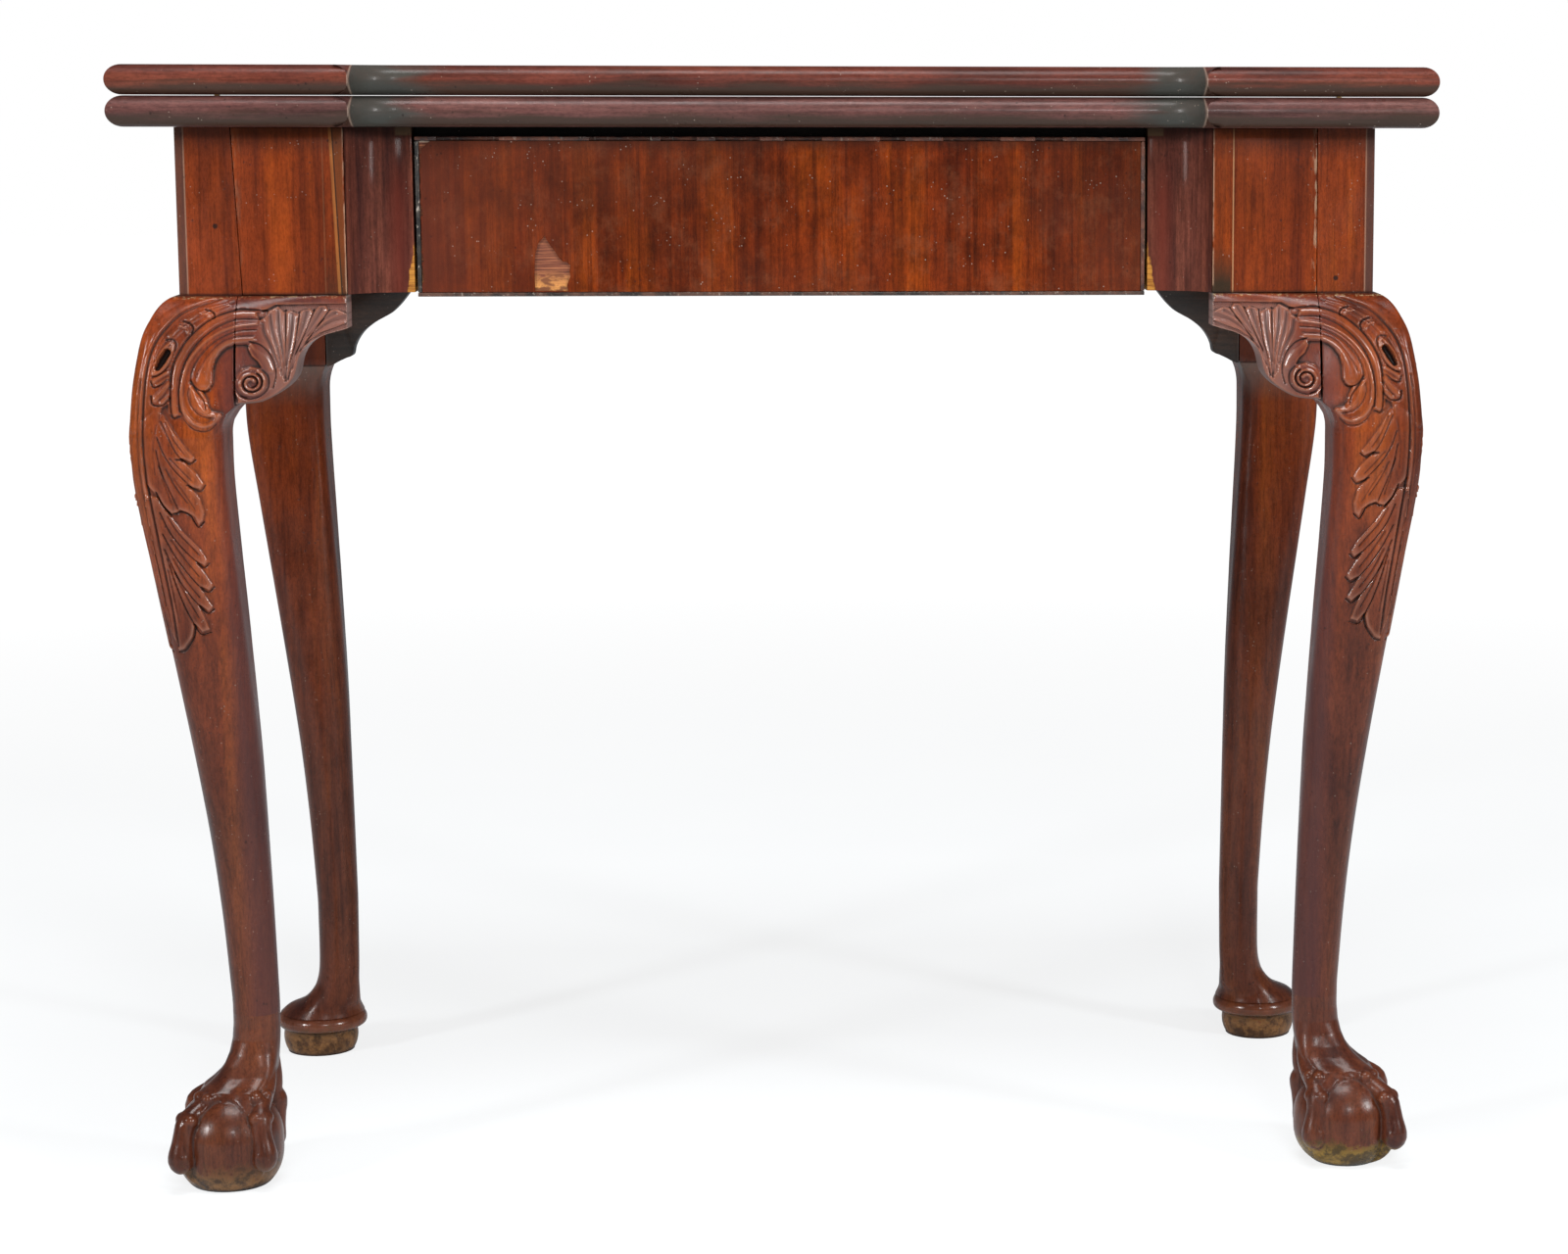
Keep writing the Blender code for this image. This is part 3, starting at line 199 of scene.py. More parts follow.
def close_tube(piece):
    """Joins a grid's two long edges and fills its open ends."""
    with editing(piece):
        bpy.ops.mesh.remove_doubles(threshold=MM / 100)
        bpy.ops.mesh.select_all(action="DESELECT")
        bpy.ops.mesh.select_non_manifold()
        bpy.ops.mesh.edge_face_add()
        face_outwards()


def eased(share, table):
    """Smooth curve through a table of shares, with slopes taken from the neighbours."""
    for index in range(len(table) - 1):
        x0, y0 = table[index]
        x1, y1 = table[index + 1]
        if share <= x1:
            break
    before = table[index - 1] if index else (x0, y0)
    after = table[index + 2] if index + 2 < len(table) else (x1, y1)
    slope0 = (y1 - before[1]) / (x1 - before[0])
    slope1 = (after[1] - y0) / (after[0] - x0)
    width = x1 - x0
    t = (share - x0) / width
    value = y0 * (1 + 2 * t) * (1 - t) ** 2 + y1 * (3 - 2 * t) * t ** 2
    return value + width * (slope0 * t * (1 - t) ** 2 - slope1 * t ** 2 * (1 - t))


def step_up(value, low, high):
    """Smooth step from 0 at low to 1 at high."""
    t = np.clip((value - low) / (high - low), 0, 1)
    return t * t * (3 - 2 * t)


# Camera, from the photograph's own straight lines

CAMERA_PLACE = (0.0131, -2.4708, 0.7142)
CAMERA_PITCH = 0.14902
CAMERA_YAW = 0.0774
CAMERA_ROLL = 0.00183
CAMERA_LENS = 81
CAMERA_SHIFT = -0.1875


def add_camera():
    data = bpy.data.cameras.new("camera")
    data.lens = CAMERA_LENS
    data.sensor_width = 36
    data.shift_x = CAMERA_SHIFT
    camera = bpy.data.objects.new("camera", data)
    bpy.context.scene.collection.objects.link(camera)
    turn = Matrix.Rotation(-CAMERA_YAW, 4, "Z")
    tilt = Matrix.Rotation(math.pi / 2 - CAMERA_PITCH, 4, "X")
    roll = Matrix.Rotation(CAMERA_ROLL, 4, "Z")
    camera.matrix_world = Matrix.Translation(CAMERA_PLACE) @ turn @ tilt @ roll
    bpy.context.scene.camera = camera


# Node helpers

class Finish:
    """A material under construction."""

    def __init__(self, name):
        self.material = bpy.data.materials.new(name)
        self.material.use_nodes = True
        self.tree = self.material.node_tree
        self.shader = self.tree.nodes["Principled BSDF"]
        self.place = self.tree.nodes.new("ShaderNodeTexCoord").outputs["Object"]

    def node(self, kind, **settings):
        node = self.tree.nodes.new(kind)
        for key, value in settings.items():
            setattr(node, key, value)
        return node

    def link(self, source, target):
        self.tree.links.new(source, target)

    def feed(self, socket, value):
        if hasattr(value, "links"):
            self.link(value, socket)
        elif isinstance(value, tuple):
            socket.default_value = value if len(value) == len(socket.default_value) else (*value, 1)
        else:
            socket.default_value = value

    def stretched(self, scale, offset=(0, 0, 0)):
        mapping = self.node("ShaderNodeMapping")
        self.link(self.place, mapping.inputs["Vector"])
        mapping.inputs["Scale"].default_value = scale
        mapping.inputs["Location"].default_value = offset
        return mapping.outputs["Vector"]

    def cloud(self, scale, detail=4.0, roughness=0.55, offset=(0, 0, 0), distortion=0.0):
        """Noise with its own scale along each axis."""
        noise = self.node("ShaderNodeTexNoise")
        self.link(self.stretched(scale, offset), noise.inputs["Vector"])
        noise.inputs["Scale"].default_value = 1.0
        noise.inputs["Detail"].default_value = detail
        noise.inputs["Roughness"].default_value = roughness
        noise.inputs["Distortion"].default_value = distortion
        return noise.outputs["Fac"]

    def spots(self, scale, offset=(0, 0, 0)):
        voronoi = self.node("ShaderNodeTexVoronoi")
        self.link(self.stretched(scale, offset), voronoi.inputs["Vector"])
        voronoi.inputs["Scale"].default_value = 1.0
        return voronoi.outputs["Distance"]

    def ramp(self, value, stops):
        ramp = self.node("ShaderNodeValToRGB")
        self.link(value, ramp.inputs["Fac"])
        elements = ramp.color_ramp.elements
        while len(elements) < len(stops):
            elements.new(1.0)
        for element, (position, color) in zip(elements, stops):
            element.position = position
            element.color = (*color, 1) if isinstance(color, tuple) else (color, color, color, 1)
        return ramp.outputs["Color"]

    def mix(self, first, second, share, kind="MIX"):
        mix = self.node("ShaderNodeMix", data_type="RGBA", blend_type=kind)
        self.feed(mix.inputs["Factor"], share)
        self.feed(mix.inputs["A"], first)
        self.feed(mix.inputs["B"], second)
        return next(output for output in mix.outputs if output.type == "RGBA")

    def darken(self, color, pattern, stops, share):
        return self.mix(color, self.ramp(pattern, stops), share, "MULTIPLY")

    def tint(self, color, tone, mask, share):
        """Lays a tone over a colour where a mask is 1, by a share."""
        return self.mix(color, tone, self.times(mask, share))

    def calculate(self, kind, first, second=0.0):
        math_node = self.node("ShaderNodeMath", operation=kind)
        self.feed(math_node.inputs[0], first)
        self.feed(math_node.inputs[1], second)
        return math_node.outputs[0]

    def plus(self, first, second):
        return self.calculate("ADD", first, second)

    def minus(self, first, second):
        return self.calculate("SUBTRACT", first, second)

    def times(self, first, second):
        return self.calculate("MULTIPLY", first, second)

    def unsigned(self, value):
        return self.calculate("ABSOLUTE", value)

    def span(self, value, low, high, to_low=0.0, to_high=1.0):
        span = self.node("ShaderNodeMapRange")
        self.link(value, span.inputs["Value"])
        limits = {"From Min": low, "From Max": high, "To Min": to_low, "To Max": to_high}
        for key, number in limits.items():
            span.inputs[key].default_value = number
        return span.outputs["Result"]

    def uneven(self, value, pattern, reach):
        """Shifts a value up and down by a pattern, by at most a reach."""
        return self.plus(value, self.span(pattern, 0.3, 0.7, -reach, reach))

    def near(self, value, target, reach):
        """1 where a value lies at a target, falling to 0 at a reach from it."""
        return self.span(self.unsigned(self.minus(value, target)), 0.0, reach, 1.0, 0.0)

    def attribute(self, name):
        return self.node("ShaderNodeAttribute", attribute_name=name).outputs["Fac"]

    def axes(self):
        parts = self.node("ShaderNodeSeparateXYZ")
        self.link(self.place, parts.inputs["Vector"])
        return parts.outputs

    def bump(self, height, strength, distance, under=None):
        bump = self.node("ShaderNodeBump")
        bump.inputs["Strength"].default_value = strength
        bump.inputs["Distance"].default_value = distance
        self.link(height, bump.inputs["Height"])
        if under is not None:
            self.link(under, bump.inputs["Normal"])
        return bump.outputs["Normal"]

    def done(self, color, roughness, normal=None, coat=0.0, specular=0.5, metallic=0.0):
        self.feed(self.shader.inputs["Base Color"], color)
        self.feed(self.shader.inputs["Roughness"], roughness)
        self.shader.inputs["Metallic"].default_value = metallic
        self.shader.inputs["Specular IOR Level"].default_value = specular
        self.feed(self.shader.inputs["Coat Weight"], coat)
        self.shader.inputs["Coat Roughness"].default_value = COAT_ROUGHNESS
        if normal is not None:
            self.link(normal, self.shader.inputs["Normal"])
        return self.material


# Materials: tones of dirt, painted shade and bare wood, then the gloss of old polish

DENT_TONE = (0.014, 0.007, 0.006)
DUST_TONE = (0.34, 0.27, 0.22)
WAX_AND_SHADE_TONE = (0.010, 0.006, 0.005)
RUBBED_AND_HIGHLIGHT_TONE = (0.30, 0.095, 0.040)
DIRT_AND_SHADE_TONE = (0.012, 0.007, 0.006)
COAT_SHARE = 0.4
COAT_ROUGHNESS = 0.12


def along_grain(grain, across, along):
    """Scales for a pattern that runs along one axis."""
    return tuple(along if axis == grain else across for axis in range(3))


def streaks(finish, grain, tones, streak, pores, shift):
    """Colour and fine relief of old mahogany: streaks along the grain, pores and cloudy wax."""
    broad = finish.cloud(along_grain(grain, streak, streak / 16), 5.0, 0.62, (shift, shift, shift), 0.3)
    color = finish.ramp(broad, list(zip((0.30, 0.50, 0.70), tones)))
    fine = finish.cloud(along_grain(grain, pores, pores / 22), 3.0, 0.65)
    color = finish.darken(color, fine, [(0.36, 0.40), (0.52, 1.0)], 0.50)
    mottle = finish.cloud(along_grain(grain, 190, 95), 3.0, 0.6, (0, shift, 0))
    color = finish.darken(color, mottle, [(0.34, 0.62), (0.60, 1.0)], 0.55)
    flecks = finish.cloud(along_grain(grain, 900, 300), 3.0, 0.75, (shift, 0, 0))
    color = finish.darken(color, flecks, [(0.34, 0.45), (0.56, 1.12)], 0.50)
    wax = finish.cloud((9, 9, 9), 3.0, 0.5, (3.1, shift, 0.4))
    color = finish.darken(color, wax, [(0.36, 0.62), (0.60, 1.0)], 0.75)
    return color, finish.plus(fine, mottle)


def marked(finish, color, dark=0.6, light=0.35):
    """Small dark dents and pale specks of dust and chipped polish."""
    where = finish.ramp(finish.cloud((55, 55, 55), 2.0), [(0.56, 0.0), (0.66, 1.0)])
    dent = finish.times(finish.ramp(finish.spots((230, 230, 190)), [(0.10, 1.0), (0.22, 0.0)]), where)
    color = finish.tint(color, DENT_TONE, dent, dark)
    specks = finish.spots((330, 330, 330), (0.3, 0.7, 0.1))
    speck = finish.times(finish.ramp(specks, [(0.10, 1.0), (0.17, 0.0)]), finish.minus(1.0, where))
    few = finish.ramp(finish.cloud((90, 90, 90), 1.0), [(0.58, 0.0), (0.64, 1.0)])
    return finish.tint(color, DUST_TONE, finish.times(speck, few), light), dent


def polish(finish, color, relief, dent, gloss, grain, worn=False, waves=0.30, shine=0.22, dull=None):
    """Finishes old wax polish: uneven gloss, pores, dents and a surface that is never quite flat."""
    rough = finish.span(finish.cloud((30, 30, 30)), 0.3, 0.7, *gloss)
    coat = shine * COAT_SHARE
    if dull is not None:
        rough = finish.plus(rough, finish.times(dull, 0.20))
    if worn:
        hollow = finish.attribute("hollow")
        rubbed = finish.attribute("worn")
        # dark wax and painted shade in the hollows
        color = finish.tint(color, WAX_AND_SHADE_TONE, hollow, 0.93)
        # rubbed wear with a painted highlight on the ridges
        color = finish.mix(color, finish.mix(color, RUBBED_AND_HIGHLIGHT_TONE, 0.45), rubbed)
        rough = finish.plus(rough, finish.times(hollow, 0.35))
        rough = finish.minus(rough, finish.times(rubbed, 0.10))
        coat = finish.span(rubbed, 0.1, 0.9, 0.07, 0.75)
    normal = finish.bump(finish.minus(finish.times(relief, 0.5), dent), 0.30, 0.0005)
    wave = finish.cloud(along_grain(grain, 60, 24), 2.0)
    normal = finish.bump(wave, waves, 0.0012, normal)
    crackle = finish.cloud((1300, 1300, 1300), 2.0, 0.7)
    normal = finish.bump(crackle, 0.22, 0.0003, normal)
    return finish.done(color, rough, normal, coat=coat, specular=shine)


def plain_mahogany(name, grain, tones, gloss=(0.26, 0.46)):
    wood = Finish(name)
    color, relief = streaks(wood, grain, tones, 34, 420, 0.0)
    color, dent = marked(wood, color)
    return polish(wood, color, relief, dent, gloss, grain)


LEG_HIGH_TONES = ((0.088, 0.0155, 0.006), (0.220, 0.037, 0.008), (0.350, 0.070, 0.009))
LEG_LOW_TONES = ((0.036, 0.009, 0.006), (0.094, 0.024, 0.011), (0.148, 0.040, 0.014))
REAR_LEG_SHARE = 0.72
LEG_GLOSS = (0.20, 0.38)
# Where the rear legs' square block ends, level with the rear brackets' lower ends
REAR_SHOULDER = FRIEZE_BOTTOM - 0.0695
STILE_EDGE = 0.0056
NAIL_HOLES = [(-0.3598, 0, 0.6323), (0.3590, 0, 0.5980)]


def knee_marks(wood, color):
    """Painted sheen on the fan, dark inner side and bright rim on the carving, and edge, line and nail on
    the stile.
    """
    x, _, z = wood.axes()
    color = wood.tint(color, (0.30, 0.235, 0.19), wood.attribute("rim"), 0.75)
    reach = wood.unsigned(x)
    # painted sheen on the palmette fan
    fan_sheen = wood.span(z, FRIEZE_BOTTOM - 0.004, FRIEZE_BOTTOM - 0.009)
    color = wood.tint(color, (0.36, 0.19, 0.145), wood.times(wood.span(reach, 0.334, 0.322), fan_sheen), 0.60)
    below = wood.span(z, FRIEZE_BOTTOM, FRIEZE_BOTTOM - 0.003)
    inner = wood.times(wood.span(reach, 0.3525, 0.3615, 0.75, 0.0), below)
    color = wood.mix(color, wood.mix(color, (0.060, 0.020, 0.020), 0.75), inner)
    above = wood.span(z, FRIEZE_BOTTOM, FRIEZE_BOTTOM + 0.001)
    edge = wood.span(wood.near(reach, FRIEZE_X, STILE_EDGE), 0.0, 0.12)
    color = wood.tint(color, (0.055, 0.030, 0.024), wood.times(edge, above), 0.75)
    line = wood.near(reach, FRIEZE_X - STILE_EDGE, 0.0007)
    color = wood.tint(color, (0.30, 0.20, 0.14), wood.times(line, above), 0.6)
    for spot in NAIL_HOLES:
        gap = wood.node("ShaderNodeVectorMath", operation="DISTANCE")
        wood.link(wood.stretched((1, 0, 1)), gap.inputs[0])
        gap.inputs[1].default_value = spot
        color = wood.mix(color, DIRT_AND_SHADE_TONE, wood.span(gap.outputs["Value"], 0.0020, 0.0012, 0.0, 0.9))
    return color


def shoulder_marks(wood, color):
    """Darker square block on a rear leg, from darker wood and painted shade, a painted shadow line at its
    ledge, and a painted sheen on the round just below.
    """
    _, y, z = wood.axes()
    inwards = wood.span(y, 0.168, 0.156)
    # darker sawn wood and painted shade on the block above the shoulder
    block = wood.times(wood.span(z, REAR_SHOULDER, REAR_SHOULDER + 0.0006), inwards)
    block = wood.times(block, wood.span(z, FRIEZE_BOTTOM, FRIEZE_BOTTOM - 0.004))
    color = wood.tint(color, (0.040, 0.014, 0.010), block, 0.55)
    # painted reflection of the floor on the round just below the shoulder
    rising = wood.span(z, REAR_SHOULDER - 0.030, REAR_SHOULDER - 0.002)
    sheen = wood.times(rising, wood.span(z, REAR_SHOULDER, REAR_SHOULDER - 0.0008))
    color = wood.tint(color, (0.105, 0.080, 0.066), wood.times(sheen, inwards), 0.62)
    # painted shadow line under the shoulder's ledge
    ledge_shadow = wood.times(wood.near(z, REAR_SHOULDER, 0.0011), inwards)
    return wood.tint(color, (0.014, 0.008, 0.006), ledge_shadow, 0.9)


def leg_mahogany(name, worn):
    """Orange-brown stiles and knees that turn purple-brown towards the feet."""
    wood = Finish(name)
    z = wood.axes()[2]
    share = 1.0 if worn else REAR_LEG_SHARE
    tones = [tuple(part * share for part in tone) for tone in LEG_HIGH_TONES]
    upper, relief = streaks(wood, 2, tones, 40, 420, 0.0)
    lower, _ = streaks(wood, 2, LEG_LOW_TONES, 40, 420, 0.0)
    height = wood.uneven(z, wood.cloud((14, 14, 5), 3.0), 0.10)
    color = wood.mix(lower, upper, wood.span(height, 0.24, 0.54))
    color = knee_marks(wood, color) if worn else shoulder_marks(wood, color)
    color = wood.tint(color, DIRT_AND_SHADE_TONE, wood.near(z, FRIEZE_BOTTOM, 0.0016), 0.9)
    if worn:
        crumbs = wood.span(wood.cloud((430, 430, 430), 3.0), 0.54, 0.64, 0.0, 0.75)
        crumbs = wood.times(crumbs, wood.near(z, FRIEZE_BOTTOM - 0.0014, 0.0012))
        color = wood.mix(color, (0.34, 0.25, 0.13), crumbs)
    shade = wood.span(z, FRIEZE_TOP - 0.022, FRIEZE_TOP, 0.0, 0.65)
    color, dent = marked(wood, wood.mix(color, (0.018, 0.008, 0.006), shade))
    return polish(wood, color, relief, dent, LEG_GLOSS, 2, worn, shine=0.15)


def foot_mahogany(name, floor_tone, first, last):
    """Dark glossy wood, rubbed through to a yellow-brown between two heights over the floor."""
    wood = Finish(name)
    z = wood.axes()[2]
    color, relief = streaks(wood, 2, LEG_LOW_TONES, 40, 420, 0.0)
    patch = wood.cloud((85, 85, 85), 6.0, 0.72)
    height = wood.uneven(z, patch, 0.010)
    rubbed = wood.ramp(patch, [(0.42, tuple(tone * 0.20 for tone in floor_tone)), (0.58, floor_tone)])
    color = wood.mix(color, rubbed, wood.span(height, first, last, 0.92, 0.0))
    # painted shade round the base, where the foot meets the floor
    color = wood.mix(color, (0.008, 0.006, 0.005), wood.span(z, 0.0006, 0.0030, 0.95, 0.0))
    color, dent = marked(wood, color, 0.4, 0.2)
    return polish(wood, color, relief, dent, LEG_GLOSS, 2, True, shine=0.20)


def leaf_mahogany(name, tones):
    """Red-brown above, with painted shade on the under side of the rounded edge and in the hollow
    corners, and a painted highlight along the ears' inner edges.
    """
    wood = Finish(name)
    x, y, _ = wood.axes()
    color, relief = streaks(wood, 0, tones, 60, 380, 2.0)
    facing = wood.node("ShaderNodeSeparateXYZ")
    wood.link(wood.node("ShaderNodeTexCoord").outputs["Normal"], facing.inputs["Vector"])
    up = facing.outputs["Z"]
    patch = wood.cloud((16, 60, 160), 3.0)
    flat = wood.span(wood.unsigned(up), 0.93, 0.985)
    under = wood.span(wood.uneven(up, patch, 0.30), 0.02, -0.45, 0.0, 0.88)
    # painted shade on the downward-facing half of the rounded edge
    color = wood.mix(color, (0.036, 0.022, 0.015), wood.times(under, wood.minus(1.0, flat)))
    reach = wood.unsigned(x)
    inner = wood.span(wood.uneven(reach, patch, 0.012), 0.222, 0.246)
    hollow = wood.times(inner, wood.span(reach, EAR_X + 0.0003, EAR_X - 0.0007))
    hollow = wood.times(hollow, wood.span(y, LEAF_FRONT_Y + 0.046, LEAF_FRONT_Y + 0.034))
    # painted shade in the hollow cove beside each ear
    color = wood.tint(color, (0.041, 0.043, 0.037), hollow, 0.88)
    front = wood.span(y, LEAF_FRONT_Y + 0.034, LEAF_FRONT_Y + 0.031)
    line = wood.times(wood.near(reach, EAR_X + 0.0002, 0.0007), front)
    # painted highlight along the inner edge of each ear
    color = wood.tint(color, (0.36, 0.27, 0.21), line, 0.55)
    color, dent = marked(wood, color, 0.7, 0.5)
    return polish(wood, color, relief, dent, (0.24, 0.44), 0, False, 0.4, 0.12, flat)


BLOCK_TONES = ((0.100, 0.015, 0.004), (0.186, 0.029, 0.005), (0.300, 0.052, 0.006))
REPAIR_STOPS = [(0.3, (0.16, 0.05, 0.014)), (0.7, (0.42, 0.15, 0.035))]
REPAIR_X = 0.2826
REPAIR_LEAN = 0.0038
INLAY_X = 0.2914


def block_mahogany(name, band, stain, chips):
    """Orange-brown frieze veneer with an inlaid repair beside the hollow."""
    wood = Finish(name)
    x, _, z = wood.axes()
    color, relief = streaks(wood, 2, BLOCK_TONES, 44, 460, 5.0)
    reach = wood.unsigned(x)
    height = wood.span(z, FRIEZE_BOTTOM, FRIEZE_TOP)
    place = wood.minus(reach, wood.times(height, REPAIR_LEAN))
    new_wood = wood.ramp(wood.cloud((240, 240, 18), 3.0), REPAIR_STOPS)
    repair = wood.span(wood.near(place, REPAIR_X, 0.0012), 0.0, 0.4, 0.0, band)
    color = wood.mix(color, new_wood, repair)
    old_glue = wood.span(reach, BLOCK_X + 0.0006, BLOCK_X + 0.0014, 0.0, band * 0.7)
    old_glue = wood.times(wood.span(place, REPAIR_X - 0.0008, REPAIR_X - 0.0014), old_glue)
    color = wood.mix(color, (0.120, 0.038, 0.011), old_glue)
    border = wood.span(wood.near(place, REPAIR_X - 0.0014, 0.0006), 0.0, 0.6, 0.0, band)
    color = wood.mix(color, (0.020, 0.011, 0.007), border)
    inlay = wood.span(wood.near(reach, INLAY_X, 0.0006), 0.0, 0.5, 0.0, 0.75 - band * 0.75)
    color = wood.mix(color, (0.36, 0.19, 0.09), inlay)
    corner = wood.span(reach, INLAY_X - 0.0002, INLAY_X - 0.0018)
    corner = wood.times(corner, wood.span(height, 0.30, 0.06))
    color = wood.tint(color, (0.022, 0.015, 0.008), corner, stain)
    chip = wood.cloud((420, 420, 90), 3.0)
    edge = wood.times(wood.near(reach, BLOCK_X + SEAT, 0.0011), wood.span(chip, 0.40, 0.58))
    color = wood.tint(color, (0.42, 0.25, 0.16), edge, 0.9)
    joint = wood.span(reach, FRONT_STILE_X - 0.0042, FRONT_STILE_X - 0.0012)
    color = wood.tint(color, (0.34, 0.22, 0.14), wood.times(joint, wood.span(chip, 0.50, 0.62)), chips)
    shade = wood.span(z, FRIEZE_TOP - 0.020, FRIEZE_TOP, 0.0, 0.75)
    color = wood.mix(color, (0.016, 0.008, 0.005), shade)
    low = wood.span(z, FRIEZE_BOTTOM + 0.0022, FRIEZE_BOTTOM, 0.0, 0.9)
    color, dent = marked(wood, wood.mix(color, (0.014, 0.009, 0.006), low))
    return polish(wood, color, relief, dent, (0.36, 0.54), 2, False, 0.22, 0.08)


CHEEK_TONES = ((0.040, 0.011, 0.009), (0.110, 0.029, 0.018), (0.205, 0.058, 0.034))
BARE_STOPS = [(0.35, (0.20, 0.065, 0.012)), (0.6, (0.46, 0.20, 0.035))]
CHEEK_RED_X = 0.2480
BARE_EDGE_X = 0.2438
BARE_EDGE_LEAN = 0.0190


def cheek_mahogany(name):
    """Purple-brown hollow with lighter streaks and a bare patch beside the drawer."""
    wood = Finish(name)
    x, _, z = wood.axes()
    color, relief = streaks(wood, 2, CHEEK_TONES, 110, 460, 1.0)
    reach = wood.unsigned(x)
    height = wood.span(z, FRIEZE_BOTTOM, FRIEZE_TOP)
    red = wood.times(wood.near(reach, CHEEK_RED_X, 0.0085), wood.span(height, 0.85, 0.60))
    color = wood.tint(color, (0.135, 0.022, 0.012), red, 0.65)
    leaning = wood.plus(reach, wood.times(height, BARE_EDGE_LEAN))
    rim = wood.uneven(leaning, wood.cloud((300, 300, 120), 3.0), 0.0012)
    bare = wood.ramp(wood.cloud((60, 60, 900), 3.0), BARE_STOPS)
    color = wood.mix(color, bare, wood.span(rim, BARE_EDGE_X, BARE_EDGE_X - 0.0006))
    top = wood.times(wood.span(height, 0.945, 0.955), wood.span(reach, 0.2490, 0.2480))
    color = wood.tint(color, (0.16, 0.10, 0.05), top, 0.7)
    # painted shade at the cheek's top, under the leaf
    shade = wood.span(z, FRIEZE_TOP - 0.012, FRIEZE_TOP, 0.0, 0.75)
    color, dent = marked(wood, wood.mix(color, DIRT_AND_SHADE_TONE, shade), 0.4)
    return polish(wood, color, relief, dent, (0.62, 0.76), 2, False, 0.25, 0.08)


DRAWER_TONES = ((0.090, 0.012, 0.003), (0.170, 0.024, 0.003), (0.262, 0.045, 0.003))


def drawer_mahogany(name):
    """Dull orange-brown figured veneer with darker bars, rubbed and speckled."""
    wood = Finish(name)
    x, _, z = wood.axes()
    color, relief = streaks(wood, 2, DRAWER_TONES, 40, 520, 8.0)
    bars = wood.cloud((330, 330, 5), 2.0, 0.55, (0.2, 0, 0.6))
    color = wood.darken(color, bars, [(0.40, 0.55), (0.58, 1.0)], 0.8)
    film = wood.cloud((70, 70, 60), 5.0, 0.7, (0.4, 0, 0.1))
    color = wood.darken(color, film, [(0.34, 0.55), (0.50, 0.92), (0.66, 1.25)], 0.8)
    dull = wood.cloud((5, 5, 7), 3.0, 0.55, (0.8, 0, 0))
    color = wood.mix(color, (0.080, 0.022, 0.012), wood.span(dull, 0.42, 0.66, 0.0, 0.5))
    haze = wood.cloud((48, 48, 40), 6.0, 0.8, (0, 0.3, 0.9))
    color = wood.mix(color, (0.215, 0.074, 0.034), wood.span(haze, 0.50, 0.68, 0.0, 0.22))
    color = wood.mix(color, (0.088, 0.022, 0.013), wood.span(x, -0.120, -0.230, 0.0, 0.55))
    # painted shade along the top edge, under the top rail
    edge = wood.span(z, DRAWER_TOP - 0.010, DRAWER_TOP, 0.0, 0.6)
    color, dent = marked(wood, wood.mix(color, (0.030, 0.012, 0.008), edge), 0.6, 0.6)
    return polish(wood, color, relief, dent, (0.42, 0.60), 2, False, 0.2, 0.05)


CORE_STOPS = [(0.36, (0.060, 0.018, 0.011)), (0.50, (0.165, 0.048, 0.024)), (0.68, (0.38, 0.14, 0.06))]
GLUE_STOPS = [(0.42, (0.16, 0.055, 0.02)), (0.60, (0.62, 0.27, 0.07))]


def drawer_core(name):
    """The drawer front's own wood: grain along the front, brown where the veneer is lost."""
    wood = Finish(name)
    z = wood.axes()[2]
    fine = wood.cloud((26, 40, 900), 4.0, 0.7)
    color = wood.ramp(fine, CORE_STOPS)
    glue = wood.cloud((160, 160, 340), 3.0)
    low = wood.span(wood.uneven(z, glue, 0.006), DRAWER_LOW + 0.009, DRAWER_LOW + 0.017, 0.85, 0.0)
    color = wood.mix(color, wood.ramp(glue, GLUE_STOPS), low)
    top = wood.span(z, DRAWER_TOP - 0.0042, DRAWER_TOP - 0.0034, 0.0, 0.9)
    color = wood.mix(color, (0.27, 0.21, 0.16), top)
    return wood.done(color, 0.72, wood.bump(wood.plus(fine, glue), 0.6, 0.0007), specular=0.25)


def bead_wood(name, tones, specks):
    """Thin edging of the drawer, blackened and chipped."""
    wood = Finish(name)
    patch = wood.cloud((90, 90, 90), 4.0, 0.7)
    color = wood.ramp(patch, [(0.38, tones[0]), (0.60, tones[1])])
    chips = wood.cloud((560, 560, 300), 3.0, 0.6)
    color = wood.mix(color, (0.42, 0.36, 0.30), wood.span(chips, 0.60, 0.66, 0.0, specks))
    rough = wood.span(patch, 0.3, 0.7, 0.3, 0.6)
    return wood.done(color, rough, wood.bump(chips, 0.6, 0.0006), specular=0.4)


def dry_wood(name, grain, tones, scale):
    """Unpolished secondary wood."""
    wood = Finish(name)
    broad = wood.cloud(along_grain(grain, scale, scale / 18), 5.0, 0.6, (0, 0, 0), 0.5)
    color = wood.ramp(broad, [(0.32, tones[0]), (0.66, tones[1])])
    fine = wood.cloud(along_grain(grain, scale * 16, scale / 2), 2.0)
    color = wood.darken(color, fine, [(0.35, 0.55), (0.5, 1.0)], 0.6)
    normal = wood.bump(wood.plus(broad, fine), 0.3, 0.0006)
    return wood.done(color, wood.span(fine, 0.3, 0.7, 0.55, 0.8), normal, specular=0.3)


def old_metal(name, color, tarnish, gloss):
    metal = Finish(name)
    patch = metal.cloud((160, 160, 160), 4.0, 0.6)
    mixed = metal.ramp(patch, [(0.35, tarnish), (0.62, color)])
    rough = metal.span(patch, 0.3, 0.7, gloss + 0.22, gloss)
    return metal.done(mixed, rough, metal.bump(patch, 0.2, 0.0002), metallic=1.0)


